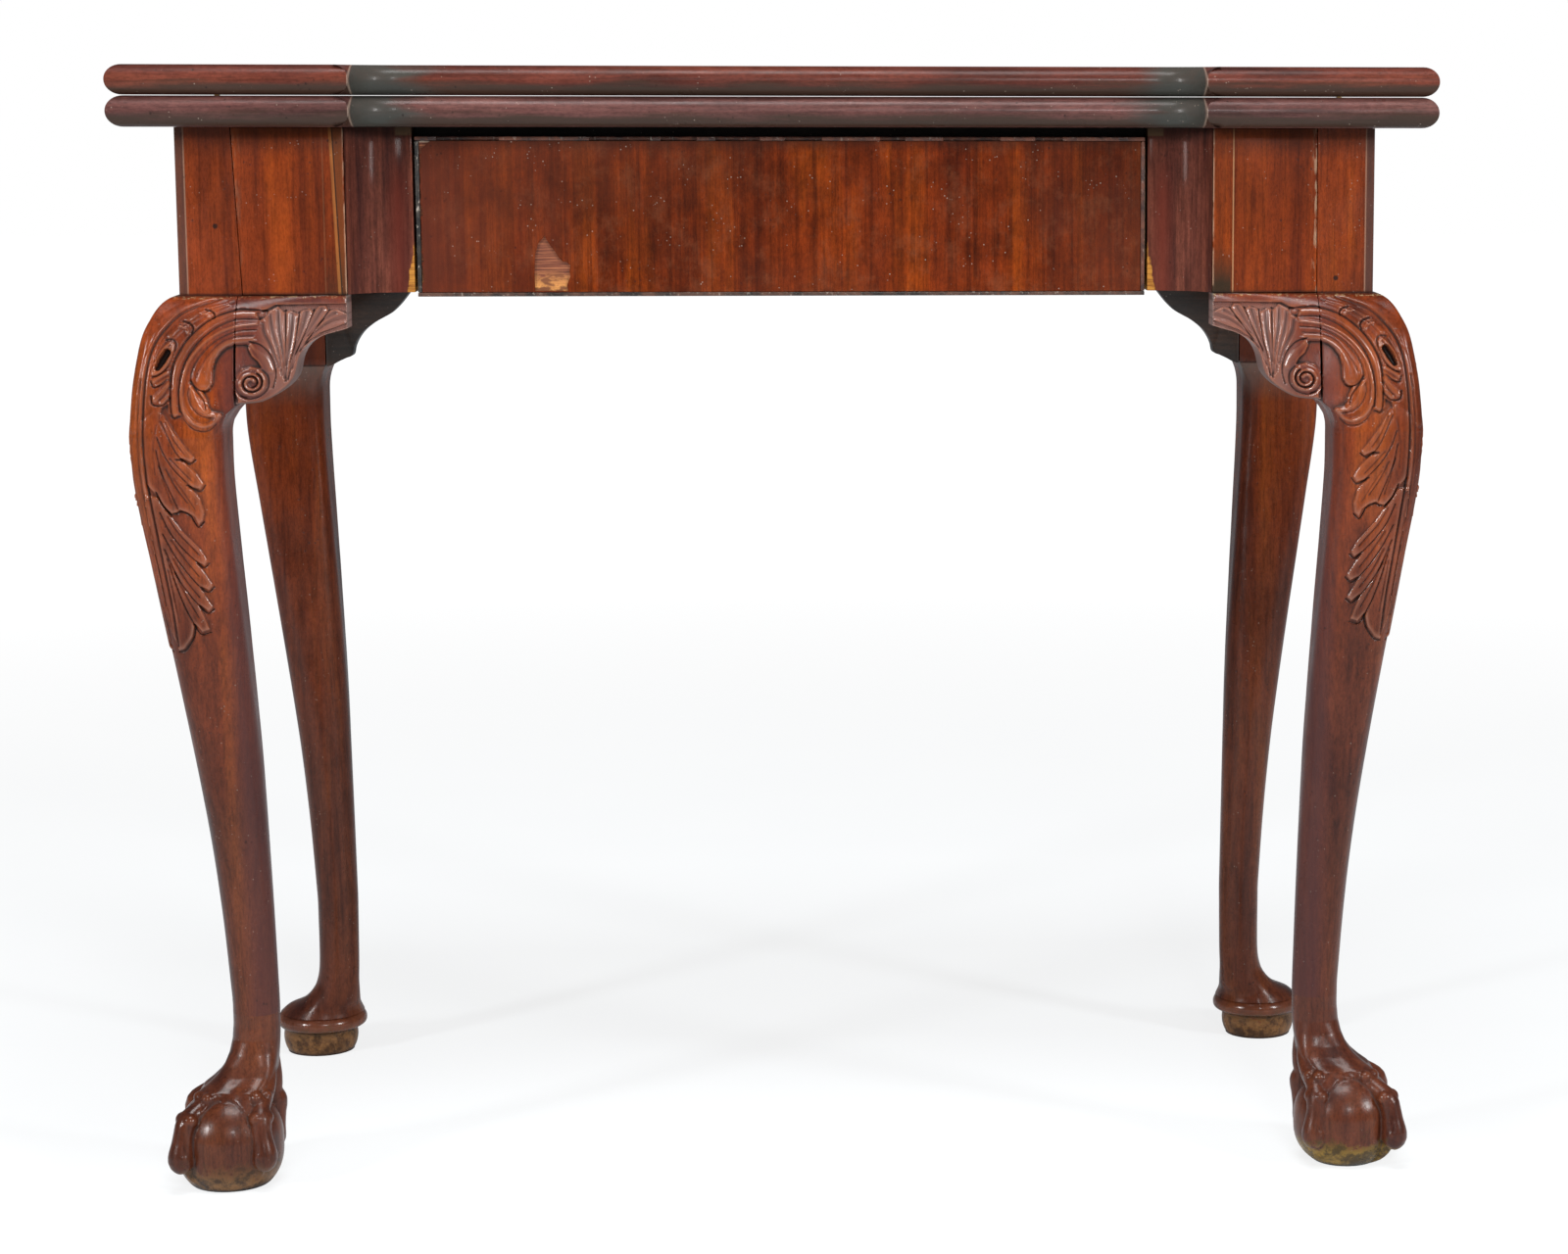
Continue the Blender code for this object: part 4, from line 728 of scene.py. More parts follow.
UPPER_LEAF_TONES = ((0.044, 0.013, 0.010), (0.118, 0.028, 0.018), (0.175, 0.044, 0.024))
LOWER_LEAF_TONES = ((0.060, 0.027, 0.024), (0.124, 0.049, 0.043), (0.172, 0.074, 0.062))
RAIL_TONES = ((0.045, 0.012, 0.008), (0.130, 0.028, 0.012), (0.210, 0.048, 0.016))
SHADED_TONES = ((0.012, 0.007, 0.005), (0.030, 0.015, 0.009), (0.055, 0.025, 0.014))
SHADOWED_RAIL_TONES = ((0.006, 0.005, 0.004), (0.014, 0.010, 0.008), (0.030, 0.020, 0.014))
OAK_TONES = ((0.16, 0.09, 0.045), (0.36, 0.22, 0.11))
PINE_TONES = ((0.30, 0.17, 0.08), (0.52, 0.34, 0.17))

CARVED_WOOD = leg_mahogany("carved_mahogany", True)
LEG_WOOD = leg_mahogany("plain_leg_mahogany", False)
FOOT_WOODS = {
    "left": foot_mahogany("left_foot_mahogany", (0.185, 0.088, 0.030), 0.009, 0.022),
    "right": foot_mahogany("right_foot_mahogany", (0.250, 0.145, 0.022), 0.014, 0.021),
}
PAD_WOOD = foot_mahogany("pad_mahogany", (0.200, 0.095, 0.032), 0.016, 0.022)
LEAF_WOODS = {
    "upper_leaf": leaf_mahogany("upper_leaf_mahogany", UPPER_LEAF_TONES),
    "lower_leaf": leaf_mahogany("lower_leaf_mahogany", LOWER_LEAF_TONES),
}
RAIL_WOOD = plain_mahogany("side_rail_mahogany", 1, RAIL_TONES)
BLOCK_VENEERS = {
    "left": block_mahogany("left_block_veneer", 0.85, 0.4, 0.12),
    "right": block_mahogany("right_block_veneer", 0.05, 0.95, 0.65),
}
CHEEK_VENEER = cheek_mahogany("cheek_veneer")
DRAWER_VENEER = drawer_mahogany("drawer_front_veneer")
DRAWER_CORE = drawer_core("drawer_front_core")
BLACK_BEAD = bead_wood("black_bead", ((0.010, 0.009, 0.008), (0.034, 0.026, 0.020)), 0.75)
BROWN_BEAD = bead_wood("brown_bead", ((0.014, 0.009, 0.007), (0.075, 0.030, 0.016)), 0.35)
RED_BEAD = bead_wood("red_bead", ((0.030, 0.012, 0.009), (0.130, 0.040, 0.020)), 0.25)
BEAD_WOODS = {"top": RED_BEAD, "bottom": BROWN_BEAD, "left": BLACK_BEAD, "right": RED_BEAD}
SHADED_WOOD = plain_mahogany("rear_bracket_mahogany", 0, SHADED_TONES)
# front rails painted near black, as painted shade in the gaps above and below the drawer
SHADOWED_RAIL_PINE = plain_mahogany("shadowed_rail_pine", 0, SHADOWED_RAIL_TONES, (0.6, 0.8))
OAK = dry_wood("dry_oak", 0, OAK_TONES, 40)
OAK_ALONG = dry_wood("dry_oak_along", 1, OAK_TONES, 40)
PINE = dry_wood("dry_pine", 0, PINE_TONES, 30)
PINE_ALONG = dry_wood("dry_pine_along", 1, PINE_TONES, 30)
BRASS = old_metal("old_brass", (0.58, 0.40, 0.15), (0.20, 0.12, 0.05), 0.28)
IRON = old_metal("old_iron", (0.14, 0.13, 0.12), (0.07, 0.035, 0.02), 0.45)

# The finish of each CAD node that stays in view, by the start of its name
FINISHES = {
    "hinge_": BRASS, "leaf_screw": IRON, "gate_pin": IRON,
    "drawer_side": OAK_ALONG, "drawer_": OAK, "drawer_front": DRAWER_CORE,
    "fly_rail": OAK, "gate_rail": OAK,
    "front_top_rail": SHADOWED_RAIL_PINE, "front_bottom_rail": SHADOWED_RAIL_PINE, "inner_rear_rail": PINE,
    "drawer_runner": PINE_ALONG, "drawer_guide": PINE_ALONG, "drawer_kicker": PINE_ALONG,
    "side_rail": RAIL_WOOD, "cockbead": BLACK_BEAD,
}


def dress_nodes():
    for name, node in NODES.items():
        fitting = [word for word in FINISHES if name.startswith(word)]
        material = FINISHES[max(fitting, key=len)] if fitting else LEG_WOOD
        node.data.materials.clear()
        node.data.materials.append(material)


# Floor, white surroundings and soft studio light

SKY_STRENGTH = 0.18
FLOOR_GLOW = 1.05
PAPER_STOPS = [(0.3, (0.80, 0.86, 0.90)), (0.7, (0.83, 0.885, 0.92))]
# Each light box: name, place, aim, size and power
LIGHTS = [
    ("left_box", (-2.3, -1.9, 1.35), (0, 0, 0.4), (0.34, 0.68), 54),
    ("right_box", (2.3, -1.7, 1.35), (0, 0, 0.4), (0.34, 0.68), 48),
    ("top_box", (0.0, -0.9, 2.7), (0, 0, 0.4), (1.3, 0.8), 50),
    ("front_box", (0.5, -3.4, 1.7), (0, 0, 0.45), (0.45, 0.30), 30),
]


def add_light(name, place, target, size, energy):
    data = bpy.data.lights.new(name, "AREA")
    data.shape = "RECTANGLE"
    data.size, data.size_y = size
    data.energy = energy
    light = bpy.data.objects.new(name, data)
    bpy.context.scene.collection.objects.link(light)
    light.location = place
    light.rotation_euler = (Vector(target) - Vector(place)).to_track_quat("-Z", "Y").to_euler()


def add_studio():
    world = bpy.data.worlds.new("studio")
    bpy.context.scene.world = world
    world.use_nodes = True
    tree = world.node_tree
    light = tree.nodes["Background"]
    light.inputs["Color"].default_value = (0.95, 0.97, 1.0, 1)
    light.inputs["Strength"].default_value = SKY_STRENGTH
    white = tree.nodes.new("ShaderNodeBackground")
    white.inputs["Color"].default_value = (1, 1, 1, 1)
    white.inputs["Strength"].default_value = 1.0
    path = tree.nodes.new("ShaderNodeLightPath")
    mix = tree.nodes.new("ShaderNodeMixShader")
    tree.links.new(path.outputs["Is Camera Ray"], mix.inputs["Fac"])
    tree.links.new(light.outputs["Background"], mix.inputs[1])
    tree.links.new(white.outputs["Background"], mix.inputs[2])
    tree.links.new(mix.outputs["Shader"], tree.nodes["World Output"].inputs["Surface"])

    deselect()
    bpy.ops.mesh.primitive_plane_add(size=24, location=(0, 4, 0))
    floor = settle(start_piece("floor"))
    finish = Finish("floor_paper")
    far = finish.node("ShaderNodeVectorMath", operation="LENGTH")
    finish.link(finish.stretched((1, 1, 0)), far.inputs[0])
    fade = finish.span(far.outputs["Value"], 0.9, 3.2, 0.75, 1.0)
    path = finish.node("ShaderNodeLightPath")
    share = finish.times(fade, path.outputs["Is Camera Ray"])
    paper = finish.ramp(finish.cloud((7, 7, 7), 3.0), PAPER_STOPS)
    finish.done(paper, 0.7, specular=0.2)
    glow = finish.node("ShaderNodeEmission")
    glow.inputs["Color"].default_value = (1, 1, 1, 1)
    glow.inputs["Strength"].default_value = FLOOR_GLOW
    mix = finish.node("ShaderNodeMixShader")
    finish.link(share, mix.inputs["Fac"])
    finish.link(finish.shader.outputs["BSDF"], mix.inputs[1])
    finish.link(glow.outputs["Emission"], mix.inputs[2])
    finish.link(mix.outputs["Shader"], finish.tree.nodes["Material Output"].inputs["Surface"])
    floor.data.materials.append(finish.material)

    for name, place, aim, size, energy in LIGHTS:
        add_light(name, place, aim, size, energy)


# Leaves

LEAF_SEGMENTS = 9
LEAF_SWELL = {"lower_leaf": 0.0009, "upper_leaf": 0.00025}
COVE_SIDES = 96


def make_leaf(name, body):
    """A leaf cut from one board: hollow front between square ears, then rounded over."""
    low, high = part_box(name)
    # the boards nearly touch, as swollen old leaves do
    if name == "lower_leaf":
        high.z += LEAF_SWELL[name]
    else:
        low.z -= LEAF_SWELL[name]
    piece = add_box(f"{name}_board", low, high)
    hollow_x = EAR_X - RECESS
    middle_z = (low.z + high.z) / 2
    cut = add_box("cut", (-hollow_x, low.y - RECESS, low.z - MM), (hollow_x, low.y + RECESS, high.z + MM))
    combine(piece, cut)
    for side in SIDES.values():
        deselect()
        bpy.ops.mesh.primitive_cylinder_add(
            vertices=COVE_SIDES, radius=RECESS, depth=high.z - low.z + 2 * MM,
            location=(side * hollow_x, low.y, middle_z),
        )
        combine(piece, settle(start_piece("cut")))
    rear = high.y

    def rim(first, second):
        level = abs(first.z - second.z) < MM / 10
        at_rear = abs(first.y - rear) < MM / 10 and abs(second.y - rear) < MM / 10
        return level and not at_rear

    bevel_edges(piece, (high.z - low.z) / 2 - MM / 20, LEAF_SEGMENTS, rim, False)
    smooth(piece, 32)
    for word, side in SIDES.items():
        plate_low, plate_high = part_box(f"hinge_plate_{name.split('_')[0]}_{word}")
        x_low, x_high = plate_low.x - SEAT, plate_high.x + SEAT
        if side < 0:
            x_low -= MM
        else:
            x_high += MM
        pocket = add_box("cut", (x_low, plate_low.y - SEAT, low.z - MM), (x_high, rear + MM, high.z + MM))
        combine(piece, pocket)
    smooth(piece, 32)
    finish_piece(piece, body, LEAF_WOODS[name], [name])


# Carving, in millimetres: inwards from the stile's outer plane, and down from the frieze

VOLUTE = (46.8, 54.4)
HOLLOW_DEPTH = 1.8
LEAF_RISE = 1.1
RIDGE_GAIN = 1.3


def smooth_line(points, step=0.8):
    """A rounded line through control points, cut into short runs."""
    points = np.array(points, float)
    ends = np.vstack([2 * points[0] - points[1], points, 2 * points[-1] - points[-2]])
    run = []
    for p0, p1, p2, p3 in zip(ends, ends[1:], ends[2:], ends[3:]):
        count = max(2, int(np.linalg.norm(p2 - p1) / step))
        for t in np.linspace(0, 1, count, endpoint=False):
            run.append(
                0.5 * (2 * p1 + (p2 - p0) * t + (2 * p0 - 5 * p1 + 4 * p2 - p3) * t ** 2
                       + (3 * p1 - p0 - 3 * p2 + p3) * t ** 3)
            )
    run.append(points[-1])
    return np.array(run)


def distance_to(line, spots):
    """Distance from each spot to a line, and the share of the line's length at its nearest point."""
    starts, ends = line[:-1], line[1:]
    lengths = np.linalg.norm(ends - starts, axis=1)
    passed = np.concatenate([[0], np.cumsum(lengths)])
    best = np.full(len(spots), np.inf)
    share = np.zeros(len(spots))
    for index, (start, end) in enumerate(zip(starts, ends)):
        run = end - start
        t = np.clip(((spots - start) @ run) / max(run @ run, 1e-9), 0, 1)
        gap = np.linalg.norm(spots - start - t[:, None] * run, axis=1)
        nearer = gap < best
        best[nearer] = gap[nearer]
        share[nearer] = (passed[index] + t[nearer] * lengths[index]) / passed[-1]
    return best, share


def inside(outline, spots):
    result = np.zeros(len(spots), bool)
    x, y = spots[:, 0], spots[:, 1]
    for (x0, y0), (x1, y1) in zip(outline, np.roll(outline, -1, axis=0)):
        crosses = (y0 > y) != (y1 > y)
        with np.errstate(divide="ignore", invalid="ignore"):
            at = (x1 - x0) * (y - y0) / (y1 - y0) + x0
        result ^= crosses & (x < at)
    return result


def within(outline, spots, slope):
    """1 inside an outline, falling to 0 at its edge over a slope's width."""
    outline = np.array(outline, float)
    chosen = inside(outline, spots)
    result = np.zeros(len(spots))
    gap, _ = distance_to(np.vstack([outline, outline[:1]]), spots[chosen])
    result[chosen] = step_up(gap, 0, slope)
    return result


def spiral(centre, first, last, turns, start, count=60):
    points = []
    for share in np.linspace(0, 1, count):
        turn = start + 2 * math.pi * turns * share
        radius = first + (last - first) * share
        points.append((centre[0] + radius * math.cos(turn), centre[1] + radius * math.sin(turn)))
    return points


# Sunk ground inside the large scroll, which runs out to the plain leg below it
HOLLOW = [
    (46, 30.5), (44, 29.6), (37, 29.4), (32, 31), (28, 34), (24.6, 38.5), (22.8, 45), (22.6, 53),
    (21.4, 56.6), (18.4, 58.4), (15.6, 58), (18.6, 64), (19.6, 69), (22, 72.2), (27, 73.4), (28.6, 75),
    (25.6, 80), (20, 84), (12, 83.6), (6, 78.6), (3.4, 72.6), (1.6, 74.6), (-1, 75.4), (-3.6, 72.4),
    (-4, 66), (-9, 68.8), (-11, 76), (-13, 92), (50, 92), (50, 72), (39.2, 68.6), (39.6, 64.4),
    (38, 60.6), (37.2, 55), (38.4, 49.6), (41.6, 45.8), (46.6, 44.8), (52.4, 46.2), (53.4, 45.0),
    (51.2, 40.8), (47.8, 37.6), (45.6, 33),
]
FAN_OUTLINE = [
    (50, 20), (51.4, 15.4), (54.6, 13.4), (57, 9.4), (62.6, 6.6), (66.4, 10.2), (70.6, 9.2),
    (74.4, 11.6), (77.6, 9.4), (82, 8.0), (84.4, 10.2), (88, 6.6), (92, 6.4), (94, 9.6), (99, 8.8),
    (105, 11.6), (107.4, 17), (99, 20.4), (88.6, 24), (80.6, 29.4), (75.4, 36), (72.8, 45), (70, 53),
    (64.6, 60), (60, 62), (61, 50), (58, 38), (53, 30), (50.4, 24),
]
FAN_GROUND = [
    (49, 10.4), (56, 8.0), (61, 5.4), (106, 5.2), (108.4, 9), (108.4, 22), (90, 30), (66, 34), (54, 22),
    (50.4, 14),
]
# Leaf masses that stand over the plain leg, upper and lower
LEAF_MASSES = [
    [(-12, 70), (-7, 74), (-1, 84.6), (6, 94.6), (11.2, 101), (9.4, 104.4), (3.4, 101.8), (-0.6, 102.2),
     (5, 103.6), (12, 110.8), (16.2, 118), (13.8, 121.6), (8.2, 119.8), (5.4, 118.4), (9, 120.8),
     (13.4, 127), (15.6, 135), (14.8, 141.4), (11.2, 145), (9, 139.4), (4.8, 136.4), (0.6, 134.8),
     (-2, 136.4), (-5, 137.6), (-10.4, 131.4), (-12.6, 127), (-20, 118), (-22.4, 98), (-22, 78)],
    [(-12.8, 126), (-9, 133.6), (-4.6, 139.6), (0.6, 147.4), (6, 153.6), (11.6, 160), (16, 168),
     (13.6, 171.6), (8.8, 168.4), (12.4, 174), (18.4, 184), (15.6, 187.6), (10.6, 185), (13.2, 191),
     (17.6, 198.4), (14.6, 201.6), (9, 197), (12.2, 205), (15, 213.2), (9.6, 215.2), (5.4, 210),
     (3.4, 218.4), (-2, 226), (-6, 227.4), (-10, 214), (-14, 190), (-18, 160), (-21, 132), (-21, 124)],
]
# Each ridge: line, half width at its start, middle and end, rise
RIDGES = [
    # arris band and the bands of the large scroll
    ([(30, 1), (12, 4.6), (-5, 14), (-16, 26), (-20.6, 38), (-24, 60), (-27, 82)],
      (2.6, 5.0, 4.6), 0.5),
    ([(32, 5.4), (20, 9.2), (8, 15.6), (-2, 24.4)], (1.6, 2.8, 3.0), 0.5),
    ([(54, 11.8), (38, 11.4), (25, 16.2), (13.6, 25), (6, 35), (1.2, 46), (-0.4, 59), (0, 73)],
      (2.0, 3.0, 2.4), 0.55),
    ([(50, 17.4), (38, 18.8), (27, 22.8), (17, 30), (9, 40), (4.8, 52), (3.6, 62), (4.8, 70),
      (9.4, 77.4), (16.4, 81), (22, 79.6), (26, 76)], (1.0, 1.5, 1.6), 0.75),
    ([(48, 27), (37, 27.6), (29.4, 31.2), (22.8, 38.4), (18.6, 46.6), (17.2, 52.6)],
      (1.8, 2.6, 4.4), 0.6),
    ([(10.4, 56), (11.8, 63), (15, 69.6), (20.6, 74)], (1.6, 2.8, 1.8), 0.5),
    ([(22, 74), (25, 74.6), (27.4, 74)], (1.2, 1.6, 1.6), 0.9),
    # rim of the pierced eye and the two small leaves under it
    ([(-3, 28.8), (-6.8, 32.8), (-11, 39.6), (-13.8, 46.6)], (1.0, 1.1, 0.9), 0.7),
    ([(-1.4, 29.6), (-2, 36), (-5.6, 43), (-10.6, 47.4), (-13.6, 48.2)], (1.2, 1.3, 1.0), 0.7),
    ([(-4.4, 47.4), (-9, 49.8), (-13.4, 53)], (1.2, 1.6, 1.4), 0.7),
    ([(-3.6, 50.4), (-7.4, 52.8), (-11.6, 55)], (1.0, 1.3, 1.0), 0.5),
    ([(-3.6, 54), (-7.8, 59.4), (-12.4, 64)], (1.6, 2.6, 2.4), 0.7),
    ([(-2.6, 58), (-4.6, 62.6), (-8.8, 66)], (1.2, 2.0, 1.8), 0.5),
    ([(15.4, 10.8), (19.4, 11.6), (21.6, 13.8)], (0.9, 1.2, 0.7), 0.6),
    ([(2.6, 18.6), (6.4, 19.8), (8.2, 22.8)], (0.9, 1.3, 0.8), 0.6),
    # leaf that rises from the volute
    ([(46.4, 30), (49.8, 34), (54.8, 39.4), (58.4, 46.6)], (1.0, 3.0, 2.6), 0.5),
    # coiled band of the volute
    (spiral(VOLUTE, 8.1, 2.2, 2.05, -1.0, 80), (1.7, 1.5, 1.5), 0.85),
]
# Each cut: line, half width at its start and end, depth
CUTS = [
    # between the arris band and the scroll, then down the leg
    ([(26, 2.0), (5, 10), (-7.6, 22), (-14, 33), (-17.6, 46), (-19.6, 62), (-20.6, 81), (-20.6, 98),
      (-19.4, 117), (-16.4, 139), (-12.6, 168), (-8.4, 198), (-6, 224)], (1.2, 1.0), 1.2),
    ([(-21.2, 52), (-22.6, 64), (-23.8, 81), (-23.8, 101), (-22, 123), (-18.4, 152), (-14.2, 182),
      (-10.4, 211)], (0.8, 0.7), 0.7),
    ([(-12, 23), (-17.6, 36), (-20.4, 47), (-22.4, 60)], (0.6, 0.6), 0.35),
    ([(36, 3.6), (18, 10.2), (5, 19), (-4.6, 29)], (0.7, 0.6), 0.6),
    ([(28, 2.4), (12, 8.4), (-0.6, 17.6), (-8.6, 27.6), (-13, 38)], (0.5, 0.5), 0.35),
    # husks' ends
    ([(18.6, 8.4), (22.2, 9.4), (24.2, 11.6), (23.6, 13.6)], (1.0, 0.7), 1.4),
    ([(16, 10.2), (19.2, 11), (21, 13)], (0.6, 0.4), 0.5),
    ([(5, 15.4), (9, 16.8), (11.2, 19.6), (10.4, 22.4)], (1.1, 0.8), 1.4),
    ([(2.6, 17.6), (5.8, 19), (7.8, 22)], (0.6, 0.4), 0.6),
    ([(-5.6, 26.8), (-1.4, 26.6), (0.8, 29.8), (-0.6, 35), (-4.4, 43.4), (-9.6, 48.6), (-14, 49.8)],
      (0.8, 0.6), 0.9),
    ([(-5, 27.4), (-11, 36.4), (-15, 46.4)], (0.7, 0.6), 0.7),
    # dark lines of the scroll
    ([(56, 9.6), (47, 8.8), (38, 8.6), (24, 13), (12, 22), (4, 32), (-1.4, 44), (-2.9, 59), (-3, 70),
      (-1.4, 75.6), (1.8, 74.6)], (0.8, 1.0), 1.2),
    ([(52, 14.8), (38, 14.6), (26, 19.2), (15, 28), (8, 38), (4, 49), (2.4, 60), (2.6, 72)],
      (0.6, 0.8), 0.8),
    ([(50, 21.2), (38, 22), (26.4, 27), (17.4, 35), (11.6, 44), (9.4, 53)], (0.6, 0.9), 0.8),
    ([(48.6, 24.6), (37, 25.4), (27.4, 29.6), (20.4, 37.4), (15, 46), (13.4, 50)], (0.5, 0.5), 0.5),
    ([(46, 30), (37, 29.4), (29, 33.4), (24.2, 38.6), (22.6, 45), (22.6, 53)], (0.6, 0.7), 0.5),
    ([(10, 52.6), (12.6, 56.6), (16.2, 58.8), (20, 58.6), (22.4, 55.4)], (0.9, 0.7), 1.2),
    ([(9.6, 54), (14.6, 60.6), (17.6, 65), (18.8, 70.4)], (0.9, 0.6), 1.2),
    ([(8.6, 57), (8.2, 63), (11, 70), (16, 74.6), (22, 76)], (0.6, 0.5), 0.6),
    ([(3.6, 72), (6, 78), (12, 83.4), (20, 84), (25.4, 80)], (0.7, 0.7), 0.8),
    # leaves under the eye
    ([(-14.8, 52.6), (-13.6, 56.4), (-9.4, 55.2), (-4.6, 51.4)], (0.8, 0.6), 1.1),
    ([(-14.4, 50.6), (-9, 48.4), (-5, 45.4)], (0.5, 0.4), 0.5),
    ([(-15, 62), (-14.2, 67.2), (-8, 67.8), (-3.2, 63)], (0.9, 0.7), 1.2),
    ([(-4, 56.6), (-7.2, 61.8), (-10.4, 65.2)], (0.5, 0.5), 0.5),
    # volute and the leaf over it
    (spiral(VOLUTE, 6.7, 3.0, 1.38, -1.0, 80), (1.0, 0.8), 1.6),
    (spiral(VOLUTE, 9.7, 9.5, 0.42, 1.9, 24), (0.9, 0.7), 1.0),
    ([(53.4, 46.4), (56.8, 51), (56.6, 57.6), (52.4, 62.6), (46, 64.4), (40.4, 62.4)], (0.8, 0.6), 0.9),
    ([(46, 28.4), (52, 30.6), (57, 35.4), (60.2, 42), (61.4, 50), (59.6, 58)], (0.8, 0.6), 1.1),
    # hollows of the palmette's lobes
    ([(53.6, 17.4), (55, 24), (59, 33), (63, 45)], (1.9, 1.0), 1.0),
    ([(58, 12.4), (60, 24), (63, 36), (65, 50)], (1.7, 0.8), 0.9),
    ([(62.8, 9.6), (63.6, 22), (65.8, 38), (66.4, 52)], (1.8, 0.8), 1.0),
    ([(71.6, 12), (70.6, 26), (68.2, 42), (67, 54)], (2.6, 0.8), 1.3),
    ([(80.4, 11), (76.6, 24), (71.4, 40), (68.4, 53)], (2.7, 0.8), 1.4),
    ([(89.6, 9.2), (83, 20), (75.4, 33), (71, 46)], (2.7, 0.8), 1.4),
    ([(103.8, 14.6), (93, 18.2), (83, 25.8), (76, 35)], (2.5, 0.8), 1.5),
    ([(98, 11.6), (89, 17), (80.6, 26)], (1.8, 0.6), 1.1),
    ([(67.4, 9.6), (67.4, 26), (67.4, 44)], (0.8, 0.4), 1.3),
    ([(75.8, 11), (73.4, 28), (69.8, 42)], (0.8, 0.4), 1.3),
    ([(85, 9.6), (79.4, 23), (73, 37)], (0.8, 0.4), 1.3),
    ([(94, 10), (86.4, 20.4), (79, 30)], (0.8, 0.4), 1.2),
    # shadows under the tips of the leg's leaves
    ([(2.4, 101.8), (7.6, 105), (11.8, 102.4)], (0.8, 0.5), 0.9),
    ([(7.4, 120.2), (13.6, 122.6), (17, 118.6)], (0.8, 0.5), 0.9),
    ([(-3.8, 136.8), (-1.8, 137.4), (0.6, 135.8), (6.4, 138.4), (10.8, 145.8), (14.8, 142.6)],
      (0.8, 0.6), 1.1),
    ([(-14, 123), (-10.6, 131), (-5.4, 137.8)], (0.8, 0.9), 1.5),
    ([(9.2, 169.6), (13.2, 172.6), (16.8, 169.4)], (0.8, 0.5), 1.0),
    ([(10.4, 186.2), (15, 188.6), (19, 185)], (0.8, 0.5), 1.0),
    ([(9.4, 198.6), (14, 202.6), (18.2, 199.6)], (0.8, 0.5), 1.0),
    ([(4.6, 209.6), (8.6, 216.4), (15.4, 215)], (0.8, 0.5), 1.0),
    ([(5.6, 211), (3.8, 219), (-1.6, 227), (-6.4, 228.4)], (0.9, 0.7), 1.0),
    # lines between and on the lobes
    ([(-9.4, 78), (-5, 88), (-1, 97), (3.6, 103)], (0.7, 0.7), 0.9),
    ([(-6.4, 78.6), (-1.6, 89.6), (4.4, 98.6)], (0.8, 0.7), 0.7),
    ([(-12, 88), (-8.6, 98), (-3.4, 107), (2.6, 114), (8, 119.6)], (0.7, 0.7), 0.9),
    ([(-4.6, 101.4), (2.6, 109.4), (8.4, 115.6)], (0.8, 0.7), 0.7),
    ([(-13, 96), (-10.4, 109), (-6, 121), (-1, 133.6)], (0.7, 0.7), 0.9),
    ([(-7.4, 108), (-1.4, 120), (5.2, 130)], (0.9, 0.8), 0.8),
    ([(-2.6, 114), (4.4, 125), (9.6, 134)], (0.8, 0.6), 0.6),
    ([(-11.6, 106), (-8.4, 118), (-4.6, 130)], (0.7, 0.7), 0.7),
    ([(-12.4, 136), (-7, 149), (0.4, 159.6), (8.6, 168.4)], (0.7, 0.7), 1.0),
    ([(-7.6, 138.6), (-2.2, 148.6), (5, 157.4), (10.6, 164)], (0.9, 0.7), 0.8),
    ([(-11.6, 150), (-5, 164), (2.6, 176), (10.2, 185.4)], (0.7, 0.7), 1.0),
    ([(-6.4, 154), (1.4, 166.6), (9.6, 178)], (0.9, 0.7), 0.8),
    ([(-11, 160), (-4, 178), (3, 190), (9.2, 198)], (0.7, 0.7), 1.0),
    ([(-6, 166), (1.4, 180.6), (9.4, 192)], (0.9, 0.7), 0.8),
    ([(-9.6, 166), (-5, 184), (0, 199), (5, 210)], (0.7, 0.7), 1.0),
    ([(-5.6, 175), (1, 191), (8, 205)], (0.9, 0.7), 0.8),
    ([(-9.4, 174), (-6.8, 192), (-4.4, 208)], (0.8, 0.6), 0.7),
    ([(-12, 80), (-14.6, 96), (-14, 112)], (0.8, 0.6), 0.5),
]
PIERCED_EYE = [(-4.8, 34.6), (-7.6, 38.8), (-10.8, 44.4)]
EYE_WIDTHS = (2.3, 2.6, 1.7)
EYE_DEPTH = 5.0
CARVING_LENGTH = 232
# The line along the leg's outer corner, beyond which the surface lies level with the leaves
ARRIS_DOWN = (44, 62, 81, 98, 117, 139, 168, 198, 222)
ARRIS_INWARDS = (-17, -20, -21, -21, -19.6, -16.6, -12.8, -8.6, -6.4)


def hug(points, spots, widths):
    """The spots near a line, with their distance from it as a share of its half width there."""
    run = smooth_line(points)
    margin = max(widths) + 0.5
    close = np.flatnonzero(np.all((spots > run.min(0) - margin) & (spots < run.max(0) + margin), axis=1))
    if not len(close):
        return close, np.zeros(0)
    gap, share = distance_to(run, spots[close])
    width = np.interp(share, np.linspace(0, 1, len(widths)), widths)
    kept = gap < width
    return close[kept], (gap / width)[kept]


